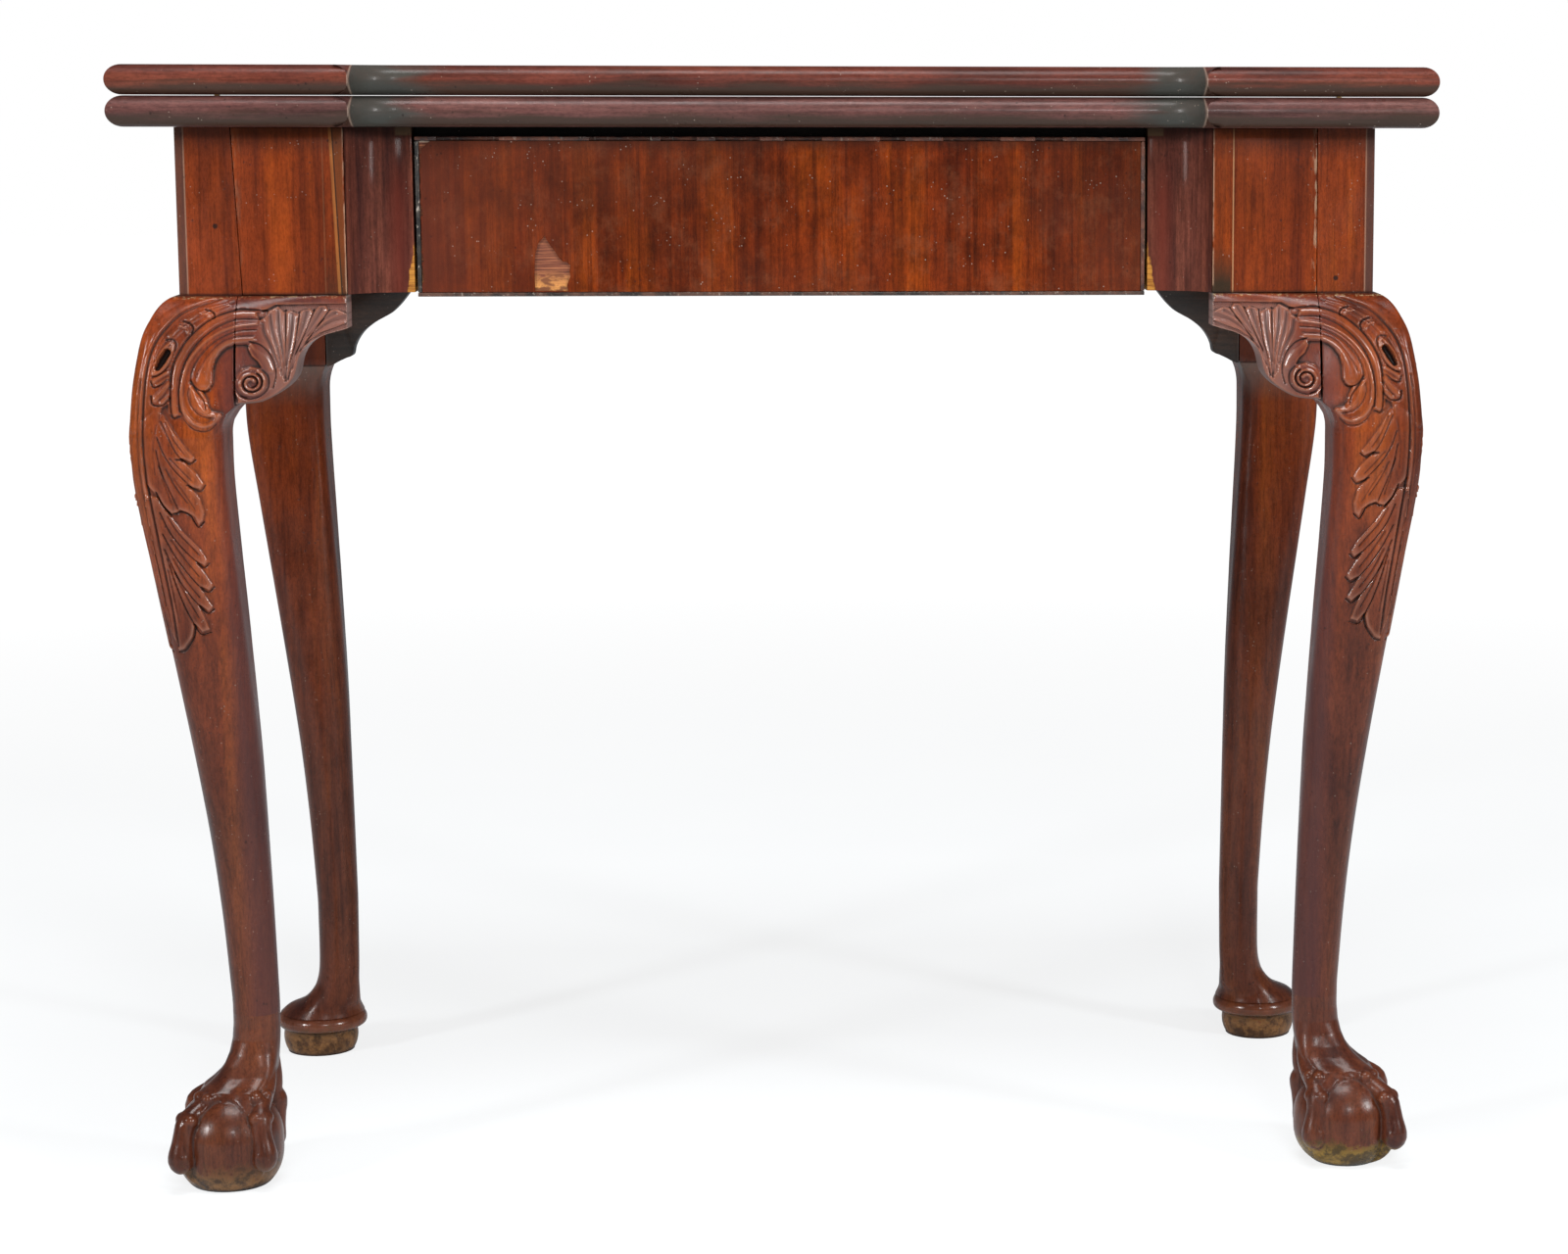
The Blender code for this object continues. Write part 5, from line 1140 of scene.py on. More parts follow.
def carved_level(inwards, down):
    """Height of the carving over the plain wood, in millimetres, on a knee's or a bracket's face."""
    spots = np.column_stack([inwards, down])
    level = -HOLLOW_DEPTH * within(HOLLOW, spots, 1.1) * (1 - step_up(down, 60, 90))
    stipple = 0.22 * np.sin(inwards * 3.1 + down * 1.7) * np.sin(down * 2.9 - inwards * 1.3)
    level += (stipple - 1.4) * within(FAN_GROUND, spots, 0.9) * (1 - within(FAN_OUTLINE, spots, 0.7))
    for mass, start in zip(LEAF_MASSES, (66, 110)):
        share = within(mass, spots, 0.9) * step_up(down, start, start + 22)
        level = level * (1 - share) + LEAF_RISE * share
    arris = np.interp(down, ARRIS_DOWN, ARRIS_INWARDS)
    band = step_up(down, 64, 96) * (1 - step_up(down, 205, 226))
    band *= 1 - step_up(inwards - arris, -0.8, 0.2)
    level += LEAF_RISE * band * (level < LEAF_RISE * 0.9)
    for line, widths, rise in RIDGES:
        chosen, share = hug(line, spots, widths)
        level[chosen] += RIDGE_GAIN * rise * (1 - share ** 2)
    for line, widths, depth in CUTS:
        chosen, share = hug(line, spots, widths)
        level[chosen] -= depth * (1 - share) ** 0.8
    chosen, share = hug(PIERCED_EYE, spots, EYE_WIDTHS)
    level[chosen] -= EYE_DEPTH * np.clip(1 - share ** 2, 0, 1) ** 0.5
    return level


def blurred(values, reach):
    """Mean over a square of neighbours on a grid."""
    for axis in (0, 1):
        padded = np.pad(values, [(reach, reach) if axis == a else (0, 0) for a in (0, 1)], mode="edge")
        total = np.cumsum(padded, axis=axis)
        total = np.concatenate([np.zeros_like(np.take(total, [0], axis=axis)), total], axis=axis)
        count = 2 * reach + 1
        upper = np.take(total, np.arange(count, total.shape[axis]), axis=axis)
        lower = np.take(total, np.arange(0, total.shape[axis] - count), axis=axis)
        values = (upper - lower) / count
    return values


def store_wear(piece, level, shape, order):
    """Stores the carving's hollows, which get dark wax and painted shade, and its edges, which are rubbed
    and get a painted highlight.
    """
    grid = np.zeros(shape)
    grid.ravel()[order] = level
    mean = (blurred(grid, 3) + blurred(grid, 6)) / 2
    store(piece, "hollow", np.clip((mean - grid - 0.08) / 0.6, 0, 1).ravel()[order])
    store(piece, "worn", np.clip((grid - mean - 0.06) / 0.55, 0, 1).ravel()[order])


# Legs

KNEE_DROP = 0.0885
SHOULDER_DROP = 0.0695
ANKLE_HEIGHT = 0.120
FOOT_JOINT_HEIGHT = 0.112
FRONT_LEG = {
    "stile": FRONT_STILE, "bulge": 0.0298, "knee_inner": 0.0280, "ankle_outer": 0.0136,
    "ankle_inner": 0.0442, "foot": 0.0130, "last": FOOT_JOINT_HEIGHT,
}
REAR_LEG = {
    "stile": REAR_STILE, "bulge": 0.0140, "knee_inner": 0.0432, "ankle_outer": 0.0295,
    "ankle_inner": 0.0592, "foot": 0.0280, "last": 0.030,
}
# Share of the way down from knee to ankle, and share of the way from the knee's offset to the ankle's
LEG_OUTER_SHARES = [
    (0, 0), (0.08, 0.035), (0.22, 0.21), (0.48, 0.53), (0.70, 0.78), (0.85, 0.91), (1, 1),
]
LEG_INNER_SHARES = [
    (0, 0), (0.08, 0.015), (0.22, 0.21), (0.38, 0.465), (0.58, 0.745), (0.78, 0.89), (1, 1),
]
# Share of the ankle's height, lean from the ankle's middle to the pad's, and share of the pad's radius
FLARE_SHARES = [
    (1, 0, 0.464), (0.62, 0.02, 0.455), (0.485, 0.11, 0.479), (0.41, 0.25, 0.547),
    (0.353, 0.456, 0.645), (0.316, 0.70, 0.76), (0.290, 0.87, 0.86), (0.25, 0.98, 0.97),
]
REAR_STILE_DROP = (0.010, 0.024)
PAD_RADIUS = 0.032
FLARE_LINE = smooth_line(FLARE_SHARES, 0.01)[::-1]
ARRIS_RADIUS = 0.0009
KNEE_ROUNDING = 0.0095
SIDE_ROUNDING = 0.0100
STILE_SLANT = {"left": 0.0022, "right": -0.0004}
# Columns on each side of a leg: the first two sides meet at the outer corner
CARVED_SIDE_COUNTS = [96, 96, 14, 14]
PLAIN_SIDE_COUNTS = [26, 26, 20, 20]
CARVED_RINGS = 168
PLAIN_RINGS = 30
RING_STEP = 0.0007
CARVING_END = 0.356


def leg_section(shape, height):
    """Outer and inner offset from the stile's corner, and the outer, side and inner corners' radii."""
    knee = FRIEZE_BOTTOM - KNEE_DROP
    arris, stile = ARRIS_RADIUS, shape["stile"]
    if height >= FRIEZE_BOTTOM:
        return 0.0, stile, arris, arris, arris
    if height >= knee:
        share = (height - knee) / KNEE_DROP
        outer = -shape["bulge"] * math.sqrt(max(0.0, 1 - share ** 2))
        if shape is REAR_LEG:
            outer *= float(step_up(FRIEZE_BOTTOM - height, *REAR_STILE_DROP))
        below = min(1.0, max(0.0, (FRIEZE_BOTTOM - height - SHOULDER_DROP) / (KNEE_DROP - SHOULDER_DROP)))
        inner = stile + (shape["knee_inner"] - stile) * (1 - (1 - below) ** 2.5)
        rounding = KNEE_ROUNDING * float(step_up(FRIEZE_BOTTOM - height, 0, 0.05))
        side = SIDE_ROUNDING * float(step_up(FRIEZE_BOTTOM - height, SHOULDER_DROP + MM, KNEE_DROP))
        return outer, inner, arris + rounding, arris + side, arris + side
    if height >= ANKLE_HEIGHT:
        share = (knee - height) / (knee - ANKLE_HEIGHT)
        outer = -shape["bulge"] + (shape["ankle_outer"] + shape["bulge"]) * eased(share, LEG_OUTER_SHARES)
        growth = shape["ankle_inner"] - shape["knee_inner"]
        inner = shape["knee_inner"] + growth * eased(share, LEG_INNER_SHARES)
        half = (inner - outer) / 2
        roundness = 0.37 + 0.62 * float(step_up(share, 0.1, 0.8))
        side = half * min(roundness * 1.05, 0.99)
        return outer, inner, half * roundness, side, side
    middle = (shape["ankle_outer"] + shape["ankle_inner"]) / 2
    if shape is REAR_LEG:
        heights = FLARE_LINE[:, 0] * ANKLE_HEIGHT
        lean = np.interp(height, heights, FLARE_LINE[:, 1])
        half = PAD_RADIUS * np.interp(height, heights, FLARE_LINE[:, 2])
        middle += (shape["foot"] - middle) * lean
    else:
        half = (shape["ankle_inner"] - shape["ankle_outer"]) / 2
    return middle - half, middle + half, half * 0.99, half * 0.99, half * 0.99


def around_square(half, radii, side_counts):
    """Points round a square with its own radius at each corner, relative to its middle."""
    points = []
    for side in range(4):
        for step in range(side_counts[side]):
            slope = -1 + 2 * step / side_counts[side]
            radius = radii[(side - 1) % 4] if slope < 0 else radii[side]
            lean, reach = abs(slope), half
            if half * lean > half - radius:
                core = half - radius
                square = (core * (1 + lean)) ** 2 - (1 + lean ** 2) * (2 * core ** 2 - radius ** 2)
                reach = (core * (1 + lean) + math.sqrt(max(0.0, square))) / (1 + lean ** 2)
            x, y = reach, reach * slope
            cos, sin = math.cos(math.pi / 2 * side), math.sin(math.pi / 2 * side)
            points.append((x * cos - y * sin, x * sin + y * cos))
    return points


def slanted(z, word):
    """How far the joint between a stile and its block lies outwards at a height."""
    share = np.clip((z - FRIEZE_BOTTOM) / (FRIEZE_TOP - FRIEZE_BOTTOM), 0, 1)
    return STILE_SLANT[word] * (2 * share - 1)


def leg_heights(shape, fine):
    """Levels of the leg's rings: close over the carving and at the knee's sharp start."""
    knee = FRIEZE_BOTTOM - KNEE_DROP
    heights = [FRIEZE_TOP, FRIEZE_TOP - MM, *np.linspace(FRIEZE_TOP - 0.02, FRIEZE_BOTTOM + 0.004, 5)]
    heights += [FRIEZE_BOTTOM + MM, FRIEZE_BOTTOM + MM / 20]
    count = CARVED_RINGS if fine else PLAIN_RINGS
    for step in range(1, count + 1):
        share = 0.35 * math.cos(math.pi / 2 * step / count) + 0.65 * (1 - step / count)
        heights.append(knee + KNEE_DROP * share)
    if fine:
        heights += list(np.arange(knee - RING_STEP, CARVING_END, -RING_STEP))
        return heights + list(np.linspace(CARVING_END, shape["last"], 45)[1:])
    heights += list(np.linspace(knee, 0.080, 90)[1:])
    heights += list(np.linspace(0.080, shape["last"], 40)[1:])
    return heights


def leg_blank(name, shape, side, front, fine):
    """A leg's plain surface, each vertex's distances inwards and height, and its place on the grid."""
    heights = leg_heights(shape, fine)
    counts = CARVED_SIDE_COUNTS if fine else PLAIN_SIDE_COUNTS
    around, along = sum(counts), len(heights) - 1
    piece, column, row = grid_sheet(name, around, along)
    rings = []
    for height in heights:
        outer, inner, corner_radius, side_radius, inner_radius = leg_section(shape, height)
        middle, half = (outer + inner) / 2, (inner - outer) / 2
        # local axes point outwards, so the outer corner lies between the first side and the second
        radii = [corner_radius, side_radius, inner_radius, side_radius]
        ring = around_square(half, radii, counts)
        rings.append([(middle - x, middle - y, height) for x, y in ring])
    rings = np.array(rings)
    rings = np.concatenate([rings, rings[:, :1]], axis=1)
    local = rings[row, column]
    corner_y = FRIEZE_FRONT_Y if front else FRIEZE_REAR_Y
    points = np.column_stack([
        side * (FRIEZE_X - local[:, 0]), corner_y + (local[:, 1] if front else -local[:, 1]), local[:, 2],
    ])
    set_points(piece, points)
    return piece, local, column, row, (along + 1, around + 1)


def carve_front_leg(word, side):
    """A front leg down to its foot's joint, with the carving raised from and cut into its two faces."""
    piece, local, column, row, shape = leg_blank(f"front_leg_{word}_carved", FRONT_LEG, side, True, True)
    along_x, along_y, height = local.T
    down = (FRIEZE_BOTTOM - height) / MM
    inwards = np.maximum(along_x, along_y) / MM
    outer = np.minimum(along_x, along_y)
    stile_side = (height > FRIEZE_BOTTOM) * step_up(along_x, FRONT_STILE - 0.004, FRONT_STILE)
    points = points_of(piece)
    points[:, 0] += side * slanted(height, word) * stile_side
    set_points(piece, points)
    ring_outer = np.array([leg_section(FRONT_LEG, z)[:2] for z in leg_heights(FRONT_LEG, True)])
    half = (ring_outer[row, 1] - ring_outer[row, 0]) / 2
    facing = 1 - step_up(outer - ring_outer[row, 0], half * 0.35, half * 0.9)
    level = np.zeros(len(down))
    zone = (down > 0.2) & (down < CARVING_LENGTH) & (facing > 0)
    level[zone] = carved_level(inwards[zone], down[zone])
    level *= facing * step_up(down, 0.2, 2.5)
    normals = normals_of(piece)
    centre = np.column_stack([
        np.full(len(down), side * (FRIEZE_X - 0.01)), np.full(len(down), FRIEZE_FRONT_Y + 0.01), height,
    ])
    outward = np.sign(np.einsum("ij,ij->i", normals, points_of(piece) - centre))
    flip = 1 if np.median(outward[zone]) > 0 else -1
    set_points(piece, points_of(piece) + flip * normals * (level * MM)[:, None])
    store_wear(piece, level, shape, row * shape[1] + column)
    close_tube(piece)
    smooth(piece, 50)
    finish_piece(piece, "frame", CARVED_WOOD, [f"front_leg_{word}"])


def make_rear_leg(name, body, side):
    piece, *_ = leg_blank(f"{name}_turned", REAR_LEG, side, False, False)
    close_tube(piece)
    smooth(piece, 35)
    finish_piece(piece, body, LEG_WOOD, [name])


# Knee brackets

# Shares of a knee bracket's length and height along its lower edge
BRACKET_EDGE = [
    (0, 0.965), (0.06, 0.968), (0.13, 0.965), (0.22, 0.955), (0.30, 0.925), (0.37, 0.882),
    (0.43, 0.835), (0.48, 0.782), (0.515, 0.72), (0.535, 0.64), (0.552, 0.575), (0.59, 0.50),
    (0.64, 0.445), (0.70, 0.405), (0.78, 0.367), (0.86, 0.343), (0.93, 0.325), (1, 0.305),
]
BRACKET_GRID = 128
BRACKET_LENGTH = 0.0680
BRACKET_DROP = 0.0695
BRACKET_THICKNESS = 0.022
BRACKET_SWELL_SHARE = 0.12
BRACKET_SWELL_FALL = 1.5


def carve_bracket(word, side, turned):
    """A knee bracket under the frieze block, or turned, under the side rail."""
    columns = rows = BRACKET_GRID
    name = f"knee_bracket_{'side' if turned else 'front'}_{word}"
    piece, column, row = grid_sheet(f"{name}_carved", columns, rows)
    share = column / columns
    run = SEAT + (BRACKET_LENGTH - SEAT) * share
    edge_line = smooth_line(BRACKET_EDGE, 0.01)
    edge = np.interp(share, edge_line[:, 0], edge_line[:, 1])
    top = FRIEZE_BOTTOM - SEAT
    low = FRIEZE_BOTTOM - BRACKET_DROP * edge
    height = top + (low - top) * (row / rows)
    up = (height - FRIEZE_BOTTOM + KNEE_DROP) / KNEE_DROP
    swell = FRONT_LEG["bulge"] * np.sqrt(np.clip(1 - up ** 2, 0, 1))
    swell *= BRACKET_SWELL_SHARE + (1 - BRACKET_SWELL_SHARE) * (1 - share) ** BRACKET_SWELL_FALL
    inwards = (FRONT_STILE + run) / MM
    down = (FRIEZE_BOTTOM - height) / MM
    level = carved_level(inwards, down)
    # the rim is chamfered off at the lower edge and at the tip
    margin = np.minimum((height - low) / MM, (BRACKET_LENGTH - run) / MM)
    level = np.where(level < 0, level * step_up(margin, 0, 1.2), level)
    level -= 1.0 * (1 - step_up(margin, 0, 1.4))
    level *= step_up(down, 0.3, 2.5)
    away = -swell - level * MM
    if turned:
        points = np.column_stack([side * (FRIEZE_X - away), FRIEZE_FRONT_Y + FRONT_STILE + run, height])
    else:
        points = np.column_stack([side * (FRIEZE_X - FRONT_STILE - run), FRIEZE_FRONT_Y + away, height])
    set_points(piece, points)
    store_wear(piece, level, (rows + 1, columns + 1), row * (columns + 1) + column)
    store(piece, "rim", 1 - step_up(margin, 0.15, 1.1))
    axis = 0 if turned else 1
    back = side * (FRIEZE_X - BRACKET_THICKNESS) if turned else FRIEZE_FRONT_Y + BRACKET_THICKNESS
    with editing(piece, "DESELECT"):
        bpy.ops.mesh.select_non_manifold()
        bpy.ops.mesh.extrude_region_move(TRANSFORM_OT_translate={"value": (0, 0, 0)})
        bm = bmesh.from_edit_mesh(piece.data)
        for vertex in bm.verts:
            if vertex.select:
                vertex.co[axis] = back
        bmesh.update_edit_mesh(piece.data)
        bpy.ops.mesh.edge_face_add()
        face_outwards()
    rim = piece.data.attributes["rim"].data
    for vertex in piece.data.vertices:
        if abs(vertex.co[axis] - back) < MM / 100:
            rim[vertex.index].value = 0
    smooth(piece, 50)
    finish_piece(piece, "frame", CARVED_WOOD, [name])


# Feet

BALL_RADIUS = 0.035
BALL_HEIGHT = 0.030
FOOT_INSET = FRONT_LEG["foot"]
ANKLE_INSET = (FRONT_LEG["ankle_outer"] + FRONT_LEG["ankle_inner"]) / 2
ANKLE_RADIUS = (FRONT_LEG["ankle_inner"] - FRONT_LEG["ankle_outer"]) / 2
VOXEL = 0.00078
# Height, lean from the ankle's middle to the ball's, and radius
WEB = [
    (0.128, 0, 0.0153), (0.112, 0, 0.0153), (0.104, 0, 0.0154), (0.0945, 0.03, 0.0156),
    (0.0860, 0.10, 0.0162), (0.0785, 0.21, 0.0170), (0.0725, 0.36, 0.0180), (0.0680, 0.57, 0.0190),
    (0.0645, 0.82, 0.0196),
]
WEB_EDGE = 0.0606
WEB_FALL = 0.0165
WEB_RIB = 0.0060
# Drop and stand over the ball of the web's lip and of its hidden hem
WEB_LIP = ((0, 0.0022), (0.0002, -0.0030))
# Reach, height and thickness along a claw, and its lean back to the ankle, in ball radii
CLAW = [
    (0.28, 2.50, 0.11, 1), (0.36, 2.22, 0.14, 0.95), (0.47, 1.96, 0.160, 0.80),
    (0.64, 1.74, 0.175, 0.52), (0.83, 1.57, 0.175, 0.23), (1.01, 1.37, 0.210, 0.05),
    (1.08, 1.16, 0.195, 0), (1.12, 0.98, 0.205, 0), (1.16, 0.80, 0.230, 0), (1.17, 0.67, 0.245, 0),
    (1.12, 0.57, 0.225, 0), (1.07, 0.50, 0.180, 0),
]
TALON = [(1.03, 0.53, 0.13, 0), (0.94, 0.33, 0.10, 0), (0.80, 0.17, 0.07, 0), (0.62, 0.05, 0.04, 0)]
# Knuckle bumps, in pairs: reach, height, half distance apart, radius and lean, in ball radii
KNUCKLES = [
    (0.76, 1.735, 0.11, 0.135, 0.27), (1.04, 1.40, 0.105, 0.150, 0.05), (1.205, 0.72, 0.10, 0.15, 0),
]
REAR_TOE_SWELL = 0.16
REAR_TOE_HEIGHT = 1.45
# How far a claw's lower joints reach on each foot
CLAW_REACH = {
    "left": {("outer", -1): 0.96, ("inner", -1): 0.90, ("outer", 1): 0.88, ("inner", 1): 0.84},
    "right": {("outer", -1): 1.02, ("inner", -1): 0.84, ("outer", 1): 0.88, ("inner", 1): 0.82},
}
FOOT_SHIFT = {"left": 0.0016, "right": 0.0036}
BALL_BASE = {"left": 0.0255, "right": 0.0212}
# Over these heights the foot takes on the leg's own round, and then dips just inside the leg
ANKLE_JOIN = (0.100, 0.108)
ANKLE_DIP = (0.1124, 0.116)
ANKLE_DIP_DEPTH = 0.0006
WEAR_ROUNDS = 14


def foot_middle(side, lean, height):
    inset = FOOT_INSET + (ANKLE_INSET - FOOT_INSET) * lean
    shift = FOOT_SHIFT["left" if side < 0 else "right"] * (1 - lean)
    return np.array([side * (FRIEZE_X - inset + shift), FRIEZE_FRONT_Y + inset, height])


def tube_along(name, middles, radii, sides=20):
    """A closed tube with its own radius at each middle."""
    piece, column, row = grid_sheet(name, sides, len(middles) - 1)
    middles, radii = np.array(middles), np.array(radii)
    ways = np.gradient(middles, axis=0)
    ways /= np.linalg.norm(ways, axis=1)[:, None]
    across = np.cross(ways, np.array([ways[0, 1], -ways[0, 0], 0]) + 1e-6)
    across /= np.linalg.norm(across, axis=1)[:, None]
    beside = np.cross(ways, across)
    turn = 2 * math.pi * column / sides
    points = middles[row] + radii[row, None] * (
        np.cos(turn)[:, None] * across[row] + np.sin(turn)[:, None] * beside[row]
    )
    set_points(piece, points)
    close_tube(piece)
    return piece


def add_ball(name, middle, radius, segments):
    deselect()
    bpy.ops.mesh.primitive_uv_sphere_add(
        segments=segments, ring_count=segments // 2, radius=radius, location=middle,
    )
    return settle(start_piece(name))


def web_piece(name, side):
    """The skin between ankle and ball, whose edge arches over the ball between the claws."""
    around = 96
    turns = np.arange(around + 1) / around * 2 * math.pi
    # 0 between two claws, 1 at a claw
    at_claw = 0.5 - 0.5 * np.cos(4 * turns)
    rings = []
    for height, lean, radius in WEB:
        spread = radius + WEB_RIB * at_claw * float(step_up(0.095 - height, 0, 0.033))
        middle = foot_middle(side, 1 - lean, height)
        rings.append([middle + (r * math.cos(t), r * math.sin(t), 0) for t, r in zip(turns, spread)])
    for drop, stand in WEB_LIP:
        heights = WEB_EDGE - WEB_FALL * at_claw ** 3 + drop
        spread = np.sqrt(BALL_RADIUS ** 2 - (heights - BALL_HEIGHT) ** 2) + stand
        ring = zip(turns, spread, heights)
        middle = foot_middle(side, 0, 0)
        rings.append([middle + (r * math.cos(t), r * math.sin(t), z) for t, r, z in ring])
    piece, column, row = grid_sheet(name, around, len(rings) - 1)
    set_points(piece, np.array(rings)[row, column])
    close_tube(piece)
    return piece


def claw_parts(side, turn):
    way = np.array([math.cos(turn), math.sin(turn), 0])
    beside = np.array([-way[1], way[0], 0])
    depth = -1 if way[1] < 0 else 1
    hand = "outer" if way[0] * side > 0 else "inner"
    reach_share = CLAW_REACH["left" if side < 0 else "right"][hand, depth]

    def place(reach, height, lean, aside=0.0):
        """A claw's point: its lower joints are drawn in, its root stays on the ankle."""
        low = float(step_up(2.0 - height, 0, 0.7) if depth < 0 else step_up(1.4 - height, 0, 0.8))
        reach *= 1 + (reach_share - 1) * low
        middle = foot_middle(side, lean, height * BALL_RADIUS)
        return middle + (way * reach + beside * aside) * BALL_RADIUS

    parts = []
    for line in (CLAW, TALON):
        run = smooth_line(line, 0.08)
        middles = [place(reach, height, lean) for reach, height, _, lean in run]
        radii = [BALL_RADIUS * thickness for _, _, thickness, _ in run]
        if depth > 0:
            swell = REAR_TOE_SWELL * np.maximum(0, 1 - ((run[:, 1] - REAR_TOE_HEIGHT) / 0.6) ** 2)
            radii = radii * (1 + swell)
        parts.append(tube_along("claw", middles, radii))
    for reach, height, apart, radius, lean in KNUCKLES[2 if depth > 0 else 0:]:
        for way_aside in (-1, 1):
            middle = place(reach, height, lean, way_aside * apart)
            parts.append(add_ball("knuckle", middle, radius * BALL_RADIUS, 16))
    return parts


def join_all(name, parts):
    deselect()
    for part in parts:
        part.select_set(True)
    bpy.context.view_layer.objects.active = parts[0]
    bpy.ops.object.join()
    piece = bpy.context.object
    piece.name = piece.data.name = name
    return piece


def neighbour_mean(values, edges, counts):
    total = np.zeros_like(values)
    np.add.at(total, edges[:, 0], values[edges[:, 1]])
    np.add.at(total, edges[:, 1], values[edges[:, 0]])
    return total / counts[:, None]


def store_shape_wear(piece, rounds, depth):
    """Stores hollows and edges, found from how far each point stands over its neighbourhood."""
    edges = np.empty(len(piece.data.edges) * 2, int)
    piece.data.edges.foreach_get("vertices", edges)
    edges = edges.reshape(-1, 2)
    points = points_of(piece).astype(float)
    counts = np.maximum(np.bincount(edges.ravel(), minlength=len(points)), 1)
    soft = points
    for _ in range(rounds):
        soft = neighbour_mean(soft, edges, counts)
    rise = np.einsum("ij,ij->i", points - soft, normals_of(piece))
    store(piece, "hollow", np.clip(-rise / depth - 0.25, 0, 1))
    store(piece, "worn", np.clip(rise / depth - 0.45, 0, 1) * 0.6)


def make_claw_foot(word, side):
    ball = add_ball("ball", foot_middle(side, 0, BALL_HEIGHT), BALL_RADIUS, 96)
    # the ball's lower half is nearly upright and then turns in to a broad base
    points = points_of(ball)
    below = np.clip((BALL_HEIGHT - points[:, 2]) / BALL_HEIGHT, 0, 1)
    round_radius = np.sqrt(BALL_RADIUS ** 2 - (below * BALL_HEIGHT) ** 2)
    share = (BALL_RADIUS - (BALL_RADIUS - BALL_BASE[word]) * below ** 3.2) / round_radius
    middle = foot_middle(side, 0, 0)[:2]
    points[:, :2] = middle + (points[:, :2] - middle) * share[:, None]
    set_points(ball, points)
    parts = [ball, web_piece("web", side)]
    for quarter in range(4):
        parts += claw_parts(side, math.pi / 4 + math.pi / 2 * quarter)
    foot = join_all(f"claw_foot_{word}", parts)
    apply_modifier(foot, "REMESH", mode="VOXEL", voxel_size=VOXEL, use_smooth_shade=True)
    apply_modifier(foot, "SMOOTH", factor=0.5, iterations=4)
    with editing(foot):
        bpy.ops.mesh.bisect(plane_co=(0, 0, MM / 10), plane_no=(0, 0, 1), use_fill=True, clear_inner=True)
    points = points_of(foot)
    # the ankle follows the leg's own round exactly where the two meet
    middle = foot_middle(side, 1, 0)
    offset = points[:, :2] - middle[:2]
    radius = np.linalg.norm(offset, axis=1)
    follow = step_up(points[:, 2], *ANKLE_JOIN)
    aim = ANKLE_RADIUS * 0.998 - ANKLE_DIP_DEPTH * step_up(points[:, 2], *ANKLE_DIP)
    wanted = radius + (aim - radius) * follow * (radius > ANKLE_RADIUS * 0.9)
    points[:, :2] = middle[:2] + offset * (wanted / np.maximum(radius, 1e-6))[:, None]
    points[:, 2] = np.maximum(points[:, 2] - MM / 10 * (1 - step_up(points[:, 2], 0, 0.004)), 0)
    set_points(foot, points)
    store_shape_wear(foot, WEAR_ROUNDS, 0.0007)
    smooth(foot, 60)
    finish_piece(foot, "frame", FOOT_WOODS[word])


# Radius and height round the pad's disc and ring
PAD_PROFILE = [
    (0.0030, 0.0318), (0.0262, 0.0314), (0.0284, 0.0306), (0.0308, 0.0292), (0.0325, 0.0268),
    (0.0331, 0.0242), (0.0326, 0.0216), (0.0310, 0.0196), (0.0290, 0.0186), (0.0275, 0.0180),
    (0.0270, 0.0168), (0.0274, 0.0140), (0.0275, 0.0100), (0.0266, 0.0052), (0.0250, 0.0014),
    (0.0240, 0.0002), (0.0228, 0.0), (0.0030, 0.0),
]
PAD_DISC_SHIFT = 0.0016


def make_pad_foot(name, body, side):
    around = 96
    profile = smooth_line([(radius / MM, height / MM) for radius, height in PAD_PROFILE], 0.7) * MM
    piece, column, row = grid_sheet(name, around, len(profile) - 1)
    turn = 2 * math.pi * column / around
    radius, height = profile[row].T
    # the disc under the ring stands a little further out
    outwards = PAD_DISC_SHIFT * (1 - step_up(height, 0.016, 0.021))
    middle_x = side * (FRIEZE_X - REAR_LEG["foot"] + outwards)
    middle_y = FRIEZE_REAR_Y - REAR_LEG["foot"] + outwards
    x, y = middle_x + radius * np.cos(turn), middle_y + radius * np.sin(turn)
    set_points(piece, np.column_stack([x, y, np.maximum(height, 0)]))
    close_tube(piece)
    store_shape_wear(piece, WEAR_ROUNDS, 0.0008)
    smooth(piece, 40)
    finish_piece(piece, body, PAD_WOOD)


# Frieze, hollow cheeks, drawer front and rear brackets

def prism(name, outline, axis, low, high):
    """A board with the given outline, between two places along an axis."""
    deselect()
    bpy.ops.mesh.primitive_circle_add(vertices=len(outline), radius=1, fill_type="NGON")
    piece = start_piece(name)
    points = np.insert(np.array(outline, float), axis, low, axis=1)
    set_points(piece, points)
    way = [0, 0, 0]
    way[axis] = high - low
    with editing(piece):
        bpy.ops.mesh.extrude_region_move(TRANSFORM_OT_translate={"value": way})
        face_outwards()
    return piece


def make_block(word, side):
    low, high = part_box(f"frieze_block_{word}")
    block = add_box(f"frieze_block_{word}_veneered", low, high)
    points = points_of(block)
    at_joint = np.abs(np.abs(points[:, 0]) - (FRONT_STILE_X - SEAT)) < MM / 10
    points[:, 0] += side * slanted(points[:, 2], word) * at_joint
    set_points(block, points)
    bevel_edges(block, 0.0005, 3)
    smooth(block, 40)
    finish_piece(block, "frame", BLOCK_VENEERS[word], [f"frieze_block_{word}"])


